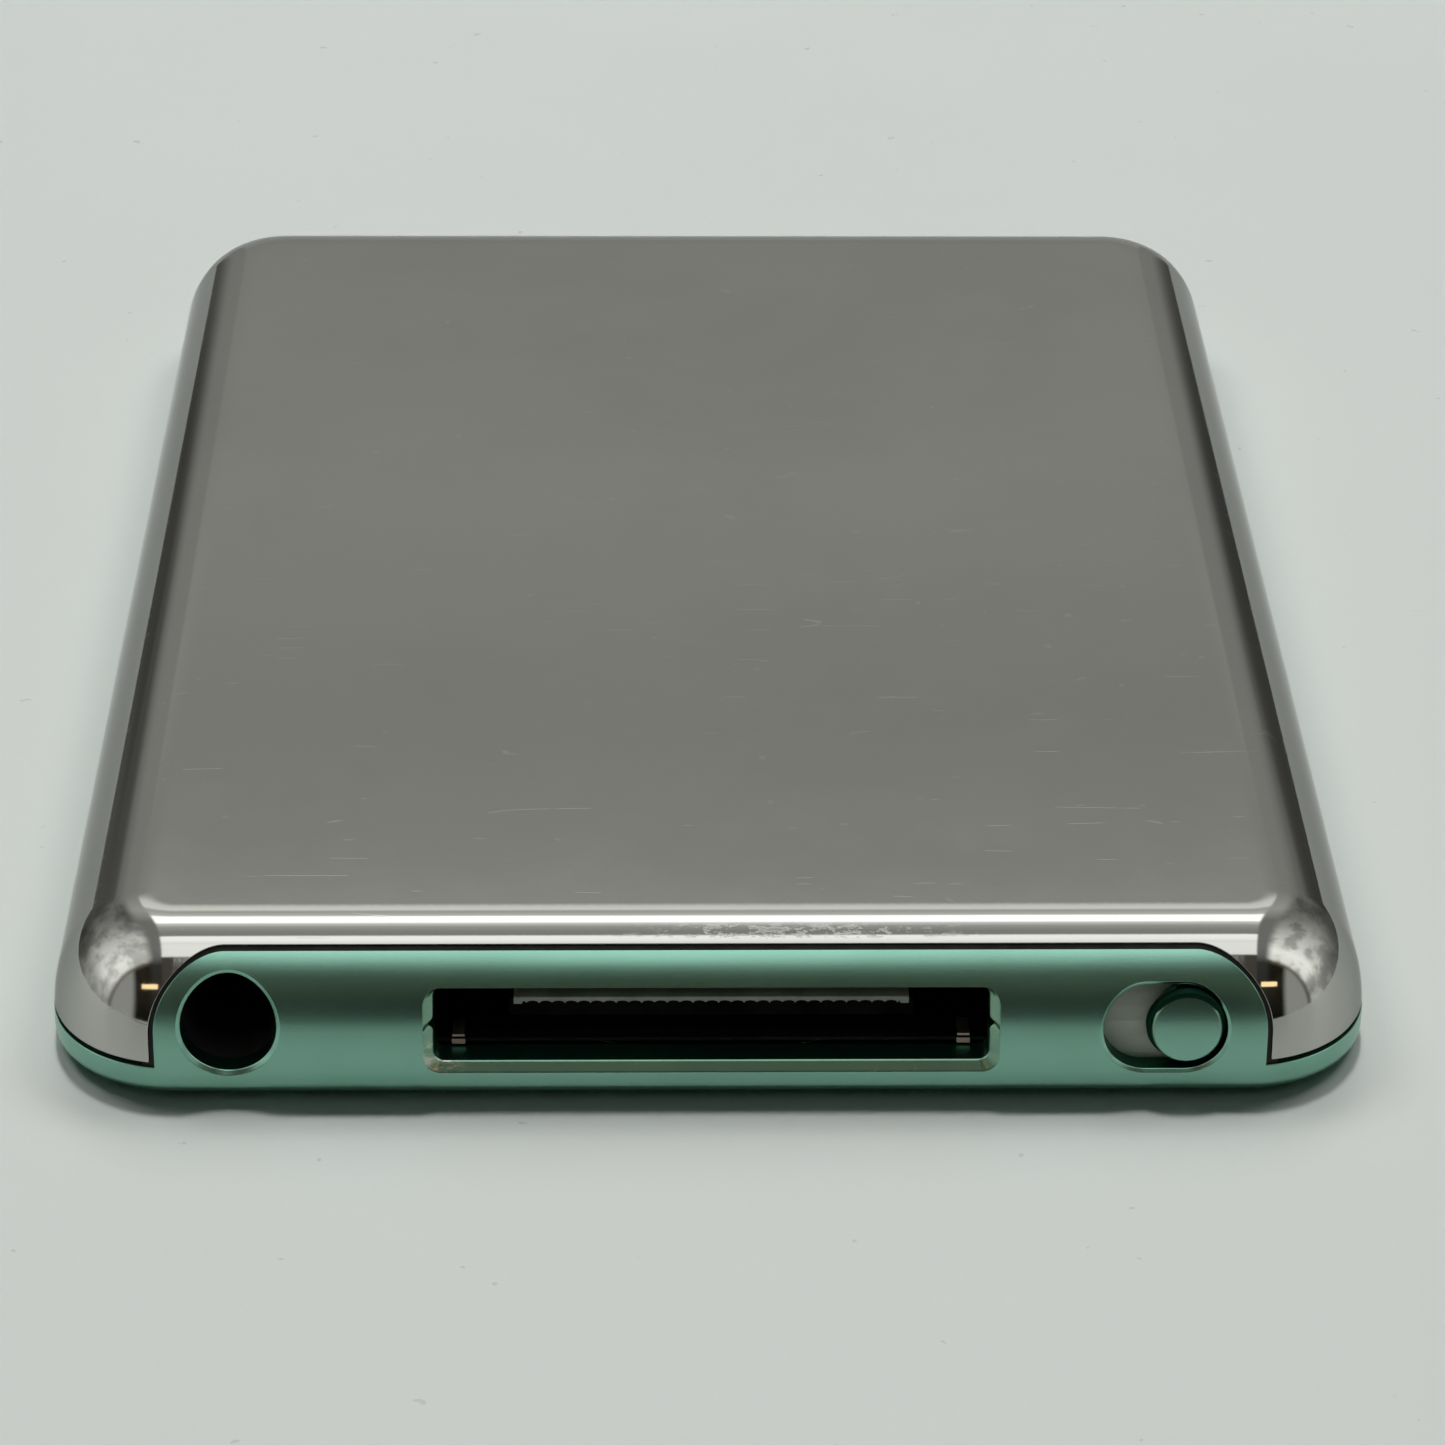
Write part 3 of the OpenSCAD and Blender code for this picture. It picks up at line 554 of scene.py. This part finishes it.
def tongue_path(grow, z0, lift=None):
    """The tongue's edge from its foot on the right, over its top, to its foot on the left, seen square on."""
    half, top, r = TONGUE_W + grow, TONGUE_TOP + (grow if lift is None else lift), TONGUE_R + grow
    path = [(half, z0)]
    path += [(half - r + r * math.cos(a), top - r + r * math.sin(a)) for a in np.linspace(0, math.pi / 2, 40)]
    path += [(r - half + r * math.cos(a), top - r + r * math.sin(a)) for a in np.linspace(math.pi / 2, math.pi, 40)]
    path += [(-half, z0)]
    return [port_uv(x, z) for x, z in densify(path, 0.12, closed=False)]


def rect_loop(cx, cz, w, h, r, per_side=24, per_corner=8, grow_low=0.0, grow_high=0.0, nick=0.0):
    """A rounded rectangle, anticlockwise from the lower left, with the same number of points whatever its size."""
    x0, x1, z0, z1 = cx - w / 2, cx + w / 2, cz - h / 2 - grow_low, cz + h / 2 + grow_high
    pts = []
    corners = [(x1 - r, z0 + r, -90), (x1 - r, z1 - r, 0), (x0 + r, z1 - r, 90), (x0 + r, z0 + r, 180)]
    for i, (px, pz, start) in enumerate(corners):
        for k in range(per_corner + 1):
            a = math.radians(start + 90 * k / per_corner)
            pts.append((px + r * math.cos(a), pz + r * math.sin(a)))
        qx, qz, s2 = corners[(i + 1) % 4]
        a, b = math.radians(start + 90), math.radians(s2)
        p = np.array((px + r * math.cos(a), pz + r * math.sin(a)))
        q = np.array((qx + r * math.cos(b), qz + r * math.sin(b)))
        count = per_side * (5 if i % 2 else 1)
        for k in range(1, count):
            x, z = p + (q - p) * k / count
            if nick and i % 2 == 0:
                x += math.copysign(max(0.0, nick - abs(z - cz + 0.06)), x - cx)
            pts.append((x, z))
    return pts


def circle_loop(cx, cz, r, count=96):
    return [(cx + r * math.cos(2 * math.pi * k / count), cz + r * math.sin(2 * math.pi * k / count)) for k in range(count)]


def stadium_loop(grow, count=40):
    r = HOLD_H / 2 + grow
    half = HOLD_L / 2 - HOLD_H / 2
    pts = [(HOLD_X + half + r * math.cos(a), HOLD_Z + r * math.sin(a))
           for a in np.linspace(-math.pi / 2, math.pi / 2, count)]
    pts += [(HOLD_X - half + r * math.cos(a), HOLD_Z + r * math.sin(a))
            for a in np.linspace(math.pi / 2, 3 * math.pi / 2, count)]
    return pts


def hole_ring(points, depth):
    """Points on a port hole's wall, at a depth behind the skin, as seen square on."""
    return [Vector((x, -HALF_L + inset_of(z) + depth, z)) for x, z in points]


def ring_normals(a, b):
    """Normals of the band between two rings of points, facing out of the port side or into the hole."""
    n, out = len(a), []
    for i in range(n):
        t = (a[(i + 1) % n] + b[(i + 1) % n]) - (a[i - 1] + b[i - 1])
        out.append(t.cross(b[i] - a[i]).normalized())
    return out


def hole(edge_mesh, outer, inner, depths, wall_to, walls):
    """A chamfer from the loop outer on the skin to the loop inner, then a straight wall back to the plane y = wall_to."""
    a, b = hole_ring(outer, 0.0), hole_ring(inner, depths)
    slope = ring_normals(a, b)
    if sum(n.y for n in slope) > 0:
        slope = [-n for n in slope]
    centre = sum((Vector((p.x, 0, p.z)) for p in b), Vector()) / len(b)
    face_in = []
    n = len(b)
    for i in range(n):
        t = b[(i + 1) % n] - b[i - 1]
        w = Vector((t.z, 0, -t.x)).normalized()
        face_in.append(w if w.dot(centre - b[i]) > 0 else -w)
    skin_n = [skin_point(*port_uv(x, z))[1] for x, z in outer]
    rows = [edge_mesh.vert(p, (s + c).normalized()) for p, s, c in zip(a, skin_n, slope)]
    mid1 = [edge_mesh.vert(p.lerp(q, 0.14), c) for p, q, c in zip(a, b, slope)]
    mid2 = [edge_mesh.vert(p.lerp(q, 0.84), c) for p, q, c in zip(a, b, slope)]
    low = [edge_mesh.vert(q, (c + w).normalized()) for q, c, w in zip(b, slope, face_in)]
    for p, q in zip((rows, mid1, mid2), (mid1, mid2, low)):
        edge_mesh.strip(p, q, True)
    top = [walls.vert(q, w) for q, w in zip(b, face_in)]
    end = [walls.vert((q.x, max(wall_to, q.y + 0.02), q.z), w) for q, w in zip(b, face_in)]
    walls.strip(top, end, True)


def make_case():
    """The green front: its rounded edge, the tongue with its three holes, and the face with window and wheel openings."""
    mesh, edges, rims, inner, liner = Mesh(), Mesh(), Mesh(), Mesh(), Mesh()
    seam = run_of(SEAM) - RIM
    rows = list(np.linspace(0.0, seam, 30))
    for a, b in zip(rows, rows[1:]):
        mesh.strip([mesh.on_skin(u, a) for u in ROUND], [mesh.on_skin(u, b) for u in ROUND])
    tongue = tongue_path(-RIM, SEAM - RIM)
    low = [(u, 0.0) for u in np.linspace(-EDGE_U, EDGE_U, 160)]
    right = [(EDGE_U, r) for r in rows[1:]]
    bridge_r = densify([(EDGE_U, seam), tongue[0]], 0.12, closed=False)[1:-1]
    bridge_l = densify([tongue[-1], (-EDGE_U, seam)], 0.12, closed=False)[1:]
    left = [(-EDGE_U, r) for r in reversed(rows[1:-1])]
    outer = low + right + bridge_r + tongue + bridge_l + left
    dock_out = rect_loop(0, DOCK_Z, DOCK_W + 0.84, DOCK_H, 0.68, grow_low=0.64, grow_high=0.0)
    dock_in = rect_loop(0, DOCK_Z, DOCK_W, DOCK_H, 0.42, nick=0.22, grow_low=0.26, grow_high=-0.03)
    jack_out, jack_in = circle_loop(JACK[0], JACK[1], JACK[2] + 0.17), circle_loop(JACK[0], JACK[1], JACK[2])
    hold_out, hold_in = stadium_loop(0.13), stadium_loop(0.0)
    holes = [[port_uv(x, z) for x, z in reversed(loop)] for loop in (dock_out, jack_out, hold_out)]
    flat, faces = triangulate([outer] + holes, 0.42, 0.13)
    ids = [mesh.on_skin(u, r) for u, r in flat]
    mesh.faces += [tuple(ids[i] for i in f) for f in faces]
    rounded_rim(mesh, [(EDGE_U, seam)] + bridge_r + tongue + bridge_l
                + [(-u, seam) for u in ROUND[1:-1]], True, RIM, 0.55)
    hole(edges, dock_out, dock_in, 0.30, -33.50, inner)
    hole(rims, jack_out, jack_in, 0.15, -33.95, inner)
    hole(rims, hold_out, hold_in, 0.11, -33.70, inner)
    jack_ring = circle_loop(JACK[0], JACK[1], JACK[2] - 0.012)
    ring = hole_ring(jack_ring, 0)
    inward = [Vector((JACK[0] - p.x, 0, JACK[1] - p.z)).normalized() for p in ring]
    liner.strip([liner.vert((p.x, max(-33.97, p.y + 0.16), p.z), n) for p, n in zip(ring, inward)],
                [liner.vert((p.x, -32.60, p.z), n) for p, n in zip(ring, inward)], True)

    # the flat face and the walls of its two openings
    x0, y0, w, l, r = WINDOW
    window = rect_loop(x0, y0, w, l, r, 6, 6)
    wheel = circle_loop(WHEEL[0], WHEEL[1], WHEEL[2], 160)
    edge = []
    for u in [(-EDGE_U + 48.0 * k / 159) for k in range(160)] + ROUND[1:-1]:
        p, _ = skin_point(u, 0.0)
        edge.append((p.x, p.y))
    down = Vector((0, 0, -1))
    flat, faces = triangulate([edge, window[::-1], wheel[::-1]], 0, 0)
    ids = [mesh.vert((x, y, 0), down) for x, y in flat]
    mesh.faces += [tuple(ids[i] for i in f) for f in faces]
    for loop in (window, wheel):
        mid = np.mean(np.array(loop), axis=0)
        inwards = [Vector((mid[0] - x, mid[1] - y, 0)).normalized() for x, y in loop]
        rows = [mesh.vert((x, y, 0), (down + n * 0.7).normalized()) for (x, y), n in zip(loop, inwards)]
        more = [mesh.vert((x, y, 0.05), n) for (x, y), n in zip(loop, inwards)]
        last = [mesh.vert((x, y, FACE_SHEET), n) for (x, y), n in zip(loop, inwards)]
        mesh.strip(rows, more, True)
        mesh.strip(more, last, True)
    mesh.build("case_shell", green, "player", ["front_case"], "front_case")
    edges.build("case_dock_edge", green_edge, "player", (), "front_case")
    rims.build("case_port_rims", green_rim, "player", (), "front_case")
    inner.build("case_port_walls", green_walls_painted_shade, "player", (), "front_case")
    liner.build("jack_liner", finish["jack_body"], "player", (), "jack_body")


def make_cover():
    """The polished steel back, with its thin edge round the tongue."""
    mesh = Mesh()
    foot = run_of(SEAM + GAP) + RIM
    rows = list(np.linspace(foot, TOP_RUN, 72))
    for a, b in zip(rows, rows[1:]):
        mesh.strip([mesh.on_skin(u, a) for u in ROUND], [mesh.on_skin(u, b) for u in ROUND])
    notch = tongue_path(SIDE_GAP + RIM, SEAM + GAP + RIM, TOP_GAP + RIM)[::-1]
    bridge_l = densify([(-EDGE_U, foot), notch[0]], 0.12, closed=False)[1:-1]
    bridge_r = densify([notch[-1], (EDGE_U, foot)], 0.12, closed=False)[1:-1]
    top = [(u, TOP_RUN) for u in np.linspace(EDGE_U, -EDGE_U, 160)]
    right, left = [(EDGE_U, r) for r in rows[:-1]], [(-EDGE_U, r) for r in reversed(rows[1:-1])]
    outer = [(-EDGE_U, foot)] + bridge_l + notch + bridge_r + right + top + left
    flat, faces = triangulate([outer], 0.42, 0.11)
    ids = [mesh.on_skin(u, r) for u, r in flat]
    mesh.faces += [tuple(ids[i] for i in f) for f in faces]
    rounded_rim(mesh, [(-EDGE_U, foot)] + bridge_l + notch + bridge_r + [(u, foot) for u in ROUND[:-1]], True, RIM, 0.40)
    ring = [mesh.on_skin(u, r) for u, r in reversed(top)] + [mesh.on_skin(u, TOP_RUN) for u in ROUND[1:-1]]
    mesh.faces.append(tuple(ring))
    mesh.build("back_shell", steel, "player", ["rear_cover"], "rear_cover")


def knob_point(r, k):
    """The angle and place of the k-th point of a ring round the hold button's middle."""
    a = 2 * math.pi * k / KNOB_SIDES
    return a, KNOB_X + r * math.cos(a), HOLD_Z + r * math.sin(a)


def make_knob():
    """The round hold button, with a cut edge, which follows the curve of the side."""
    mesh, edge = Mesh(), Mesh()
    rings = []
    for r in (0.0, 0.3, 0.6, 0.9, KNOB_R - 0.10):
        row = []
        for k in range(KNOB_SIDES if r else 1):
            a, x, z = knob_point(r, k)
            n = skin_point(*port_uv(x, z))[1]
            row.append(mesh.vert((x, -HALF_L + inset_of(z) + 0.06, z), n))
        rings.append(row if r else row * KNOB_SIDES)
    for a, b in zip(rings, rings[1:]):
        mesh.strip(a, b, True)
    rim = []
    for r, d, slope in ((KNOB_R - 0.10, 0.06, 0.35), (KNOB_R - 0.03, 0.10, 1.0), (KNOB_R, 0.16, 2.5)):
        row = []
        for k in range(KNOB_SIDES):
            a, x, z = knob_point(r, k)
            n = skin_point(*port_uv(x, z))[1] + Vector((math.cos(a), 0, math.sin(a))) * slope
            row.append(edge.vert((x, -HALF_L + inset_of(z) + d, z), n.normalized()))
        rim.append(row)
    for a, b in zip(rim, rim[1:]):
        edge.strip(a, b, True)
    wall = []
    for d in (0.16, 0.84):
        wall.append([mesh.vert((x, -HALF_L + inset_of(z) + d, z), (math.cos(a), 0, math.sin(a)))
                     for a, x, z in (knob_point(KNOB_R, k) for k in range(KNOB_SIDES))])
    mesh.strip(wall[0], wall[1], True)
    mesh.build("hold_knob", green, "hold_switch", ["hold_slider"], "hold_slider")
    edge.build("hold_knob_edge", green_edge, "hold_switch", (), "hold_slider")


def make_seam_liner():
    """The black gasket that shows in the gap round the tongue, just under the skin."""
    mesh = Mesh()
    path = [skin_point(u, run) for u, run in tongue_path(0.0, SEAM)]
    rows = [[], [], []]
    for i, (p, n) in enumerate(path):
        t = path[min(i + 1, len(path) - 1)][0] - path[max(i - 1, 0)][0]
        away = t.cross(n).normalized()
        for row, (side, deep) in zip(rows, ((-0.02, 0.50), (-0.02, 0.13), (0.50, 0.16))):
            row.append(mesh.vert(p + away * side - n * deep, n if deep < 0.4 else away))
    for a, b in zip(rows, rows[1:]):
        mesh.strip(a, b)
    mesh.build("seam_liner", finish["seam_gasket"], "player", (), "seam_gasket")


def make_knob_flange():
    """The wider foot of the hold button, set back in its slot; its almost black green is painted shade."""
    mesh = Mesh()
    rows = []
    for r, d, out in ((KNOB_R - 0.05, 0.42, 0.0), (FLANGE_R - 0.04, 0.42, 0.3),
                      (FLANGE_R, 0.46, 2.0), (FLANGE_R, 0.80, 9.0)):
        row = []
        for k in range(KNOB_SIDES):
            a, x, z = knob_point(r, k)
            n = Vector((out * math.cos(a), -1.0, out * math.sin(a))).normalized()
            row.append(mesh.vert((x, -HALF_L + 0.16 + d, z), n))
        rows.append(row)
    for a, b in zip(rows, rows[1:]):
        mesh.strip(a, b, True)
    mesh.build("hold_knob_flange", green_flange_painted_shade, "hold_switch", (), "hold_slider")


def make_dock_contacts():
    """The row of sprung contacts, with their bent tips scalloped by the fingers, and the two latch tips."""
    mesh = Mesh()
    half, pitch, front = 7.72, 0.5, -33.32
    ahead, up = (0, -1, 0), (0, 0, 1)
    low, high, bend, back = [], [], [], []
    for k in range(int(2 * half / 0.04) + 1):
        x = -half + 0.04 * k
        part = abs(((x + half) / pitch) % 1.0 - 0.5) * 2
        arch = 0.13 * math.sqrt(max(0.0, 1 - part * part)) if abs(x) < half - 0.35 else -0.02
        low.append(mesh.vert((x, front, 3.60 + arch), ahead))
        high.append(mesh.vert((x, front, 3.86), ahead))
        bend.append(mesh.vert((x, front + 0.05, 3.90), (0, -0.7, 0.7)))
        back.append(mesh.vert((x, -29.2, 3.93), up))
    for a, b in zip((low, high, bend), (high, bend, back)):
        mesh.strip(a, b)
    mesh.build("dock_contact_comb", finish["dock_contacts"], "player", ["dock_contacts"], "dock_contacts")
    tips = Mesh()
    for s in (-1, 1):
        for y0, z0, y1, z1, wide in ((-33.56, 1.86, -33.48, 2.02, 0.26), (-33.50, 2.17, -33.46, 2.23, 0.24)):
            n = Vector((0, -(z1 - z0), y1 - y0)).normalized()
            lip = [tips.vert((s * 9.90 - wide, y, z), n) for y, z in ((y0, z0), (y1, z1))]
            lop = [tips.vert((s * 9.90 + wide, y, z), n) for y, z in ((y0, z0), (y1, z1))]
            tips.strip(lip, lop)
            back = [tips.vert((s * 9.90 + w, y1 + 1.2, z1 - 0.05), up) for w in (-wide, wide)]
            ridge = [tips.vert((s * 9.90 + w, y1, z1), up) for w in (-wide, wide)]
            tips.strip(ridge, back)
    tips.build("dock_latch_tips", finish["dock_latches"], "player", ["dock_latches"], "dock_latches")


make_case()
make_cover()
make_knob()
make_seam_liner()
make_knob_flange()
make_dock_contacts()


# ---------------------------------------------------------------- floor and light

def make_floor():
    mesh = bpy.data.meshes.new("floor")
    mesh.from_pydata([(-6, -6, 0), (6, -6, 0), (6, 6, 0), (-6, 6, 0)], [], [(0, 1, 2, 3)])
    obj = place("floor", mesh)

    def colour(t):
        where = t.add("ShaderNodeTexCoord").outputs["Object"]
        xyz = t.add("ShaderNodeSeparateXYZ", i0=where)
        # lighter far off and darker towards the camera: painted light fall-off across the table
        far = t.span(xyz.outputs[1], -0.075, 0.11, smooth=False)
        base = t.mix(far, (0.670, 0.703, 0.670), (0.770, 0.815, 0.785))
        cloud = t.span(t.noise(14.0, 4.0, 0.55), 0.3, 0.7)
        base = t.mix(t.math("MULTIPLY", cloud, 0.35), base, (0.700, 0.735, 0.705))
        dust = t.span(t.noise(900.0, 2.0, 0.5), 0.735, 0.76)
        return t.mix(t.math("MULTIPLY", dust, 0.30), base, (0.30, 0.31, 0.29))

    mat = material("tabletop", colour, lambda t: t.span(t.noise(60.0, 3.0), 0.3, 0.7, 0.36, 0.44),
                   bump=lambda t: t.noise(2500.0, 3.0, 0.6), bump_size=6.0e-6, Specular_IOR_Level=0.40)
    mesh.materials.append(mat)


def make_backdrop():
    """A pale wall right round the table, seen by the camera only. It glows by itself: painted light, a little brighter
    towards the top.
    """
    count, radius = 64, BACKDROP_R
    points = [(radius * math.cos(2 * math.pi * k / count), radius * math.sin(2 * math.pi * k / count), z)
              for z in (-0.01, 0.6, 1.6, 3.2, 6.0) for k in range(count)]
    faces = [(r * count + k, r * count + (k + 1) % count, (r + 1) * count + (k + 1) % count, (r + 1) * count + k)
             for r in range(4) for k in range(count)]
    faces.append(tuple(range(4 * count, 5 * count)))
    mesh = bpy.data.meshes.new("backdrop")
    mesh.from_pydata(points, [], faces)
    obj = place("backdrop", mesh)
    mat = bpy.data.materials.new("backdrop_paper")
    mat.use_nodes = True
    t = Tree(mat.node_tree)
    height = t.add("ShaderNodeSeparateXYZ", i0=t.add("ShaderNodeTexCoord").outputs["Object"]).outputs[2]
    # painted light: the glow grows brighter towards the top of the wall
    tone = t.mix(t.span(height, 0.0, 4.0), (0.560, 0.590, 0.565), (0.660, 0.690, 0.665))
    tone = t.mix(t.math("MULTIPLY", t.noise(0.8, 3.0, 0.5), 0.08), tone, (0.50, 0.53, 0.50))
    glow = t.add("ShaderNodeEmission", Color=tone, Strength=1.0)
    t.put(t.add("ShaderNodeOutputMaterial").inputs[0], glow.outputs[0])
    mesh.materials.append(mat)
    obj.visible_diffuse = obj.visible_glossy = obj.visible_shadow = obj.visible_transmission = False


def make_light():
    """Soft lamps over the table, by angle from the far side (0) past overhead (90) to the near side (180)."""
    world = bpy.data.worlds.new("studio")
    bpy.context.scene.world = world
    world.use_nodes = True
    t = Tree(world.node_tree)
    out = t.add("ShaderNodeOutputWorld")
    way = t.add("ShaderNodeTexCoord").outputs["Generated"]
    x, y, z = t.add("ShaderNodeSeparateXYZ", i0=way).outputs
    angle = t.math("DIVIDE", t.math("ARCTAN2", z, y), math.pi)
    aside = t.math("ABSOLUTE", x)
    grey, warm, cool = (1.0, 1.0, 0.96), (1.0, 0.86, 0.60), (0.99, 1.0, 0.98)

    def arc(stops):
        """Degree and brightness at each stop, with a tint where it isn't grey."""
        return t.ramp(angle, [(a / 180.0, tuple(v * c / 4.0 for c in (tint[0] if tint else grey))) for a, v, *tint in stops])

    # the row of strip lamps straight over the object
    middle = arc([
        (0, 0.62), (10, 0.55), (17, 0.45), (24, 0.455), (28, 0.48), (31, 0.42), (33.2, 0.46), (34, 0.62), (36.5, 1.12),
        (41, 1.30), (44, 0.66), (50.5, 0.95), (52.8, 2.6, cool), (61, 2.6, cool), (63.5, 1.2), (69, 0.62), (76, 0.45),
        (82, 0.40), (84, 1.90, cool), (90, 1.80, cool), (93, 1.50, cool), (97, 1.60, cool), (117, 1.55, cool), (122, 0.80),
        (128, 0.32), (136, 0.13, warm), (152, 0.07, warm), (158, 0.012, cool), (176, 0.012, cool), (180, 0.05, cool)])
    # past the strips' ends their near edge is cut off
    deg = t.math("MULTIPLY", angle, 180.0)
    from_middle = t.math("ABSOLUTE", t.math("SUBTRACT", x, 0.0145))
    ends = t.math("MULTIPLY", t.span(from_middle, 0.108, 0.118), t.span(deg, 110.5, 113.5))
    middle = t.mix(ends, middle, (0.026, 0.023, 0.020))
    # darker ceiling past the ends of the strips
    between = arc([
        (0, 0.45), (14, 0.40), (30, 0.40), (45, 0.62), (55, 0.42), (60, 0.30), (100, 0.30), (112, 0.24), (122, 0.06),
        (178, 0.035, warm), (180, 0.10)])
    # soft light from the walls on both sides, brighter towards the near side, where a dark doorway begins
    flank = t.ramp(t.math("MULTIPLY_ADD", y, 0.5, 0.5), [((v + 1) / 2, tuple(g * c / 4.0 for c in tint)) for v, g, tint in (
        (-1.0, 0.03, warm), (-0.50, 0.04, warm), (-0.45, 0.20, warm), (-0.39, 1.50, grey), (-0.22, 1.75, grey),
        (-0.05, 1.30, grey), (0.15, 0.95, grey), (0.32, 0.62, grey), (0.48, 0.36, grey), (0.62, 0.26, grey), (1.0, 0.36, grey))])
    cloud = t.noise(3.4, 3.0, 0.6, vector=way)
    dim = t.math("MULTIPLY", t.span(cloud, 0.40, 0.62, 1.0, 0.55), t.span(z, 0.10, 0.42, 0.50, 1.0))
    flank = t.add("ShaderNodeVectorMath", {"operation": "SCALE"}, i0=flank, Scale=dim).outputs[0]
    # the near corners of the room, past the doorway
    corner = t.math("MULTIPLY", t.span(aside, 0.59, 0.68), t.span(y, -0.50, -0.42, 1.0, 0.0))
    flank = t.mix(corner, flank, (0.120, 0.121, 0.115))
    room = t.mix(t.span(aside, 0.225, 0.255), middle, between)
    room = t.mix(t.span(aside, 0.34, 0.47), room, flank)
    # a long warm lamp low behind the camera
    low = t.math("ABSOLUTE", t.math("SUBTRACT", deg, 146.5))
    along = t.math("ABSOLUTE", t.math("SUBTRACT", aside, 0.42))
    lamp = t.math("MULTIPLY", t.span(low, 2.2, 2.9, 1.0, 0.0), t.span(along, 0.11, 0.12, 1.0, 0.0))
    room = t.mix(lamp, room, (0.60, 0.44, 0.24))
    back = t.add("ShaderNodeBackground", Color=room, Strength=4.0)
    t.put(out.inputs[0], back.outputs[0])

    # the room is only seen in reflections; the suns below light the table
    world.cycles_visibility.diffuse = False

    def sun(name, height, turn, spread, strength):
        data = bpy.data.lights.new(name, "SUN")
        data.energy, data.angle = strength, math.radians(spread)
        obj = place(name, data)
        up, bearing = math.radians(height), math.radians(turn)
        way = Vector((math.sin(bearing) * math.cos(up), math.cos(bearing) * math.cos(up), math.sin(up)))
        obj.matrix_world = Matrix.Translation(way * 0.5) @ way.to_track_quat("Z", "X").to_matrix().to_4x4()
        obj.visible_glossy = False

    # large soft boxes beyond the object and to its sides, and a weak one over the camera
    sun("key_high", 70.0, 0.0, 5.0, 1.11)
    sun("key_low", 50.0, 0.0, 22.0, 0.44)
    sun("key_left", 54.0, -46.0, 20.0, 0.63)
    sun("key_right", 54.0, 46.0, 20.0, 0.63)
    sun("fill_near", 66.0, 180.0, 40.0, 0.07)


make_floor()
make_backdrop()
make_light()
bpy.context.scene.view_settings.view_transform = "Standard"
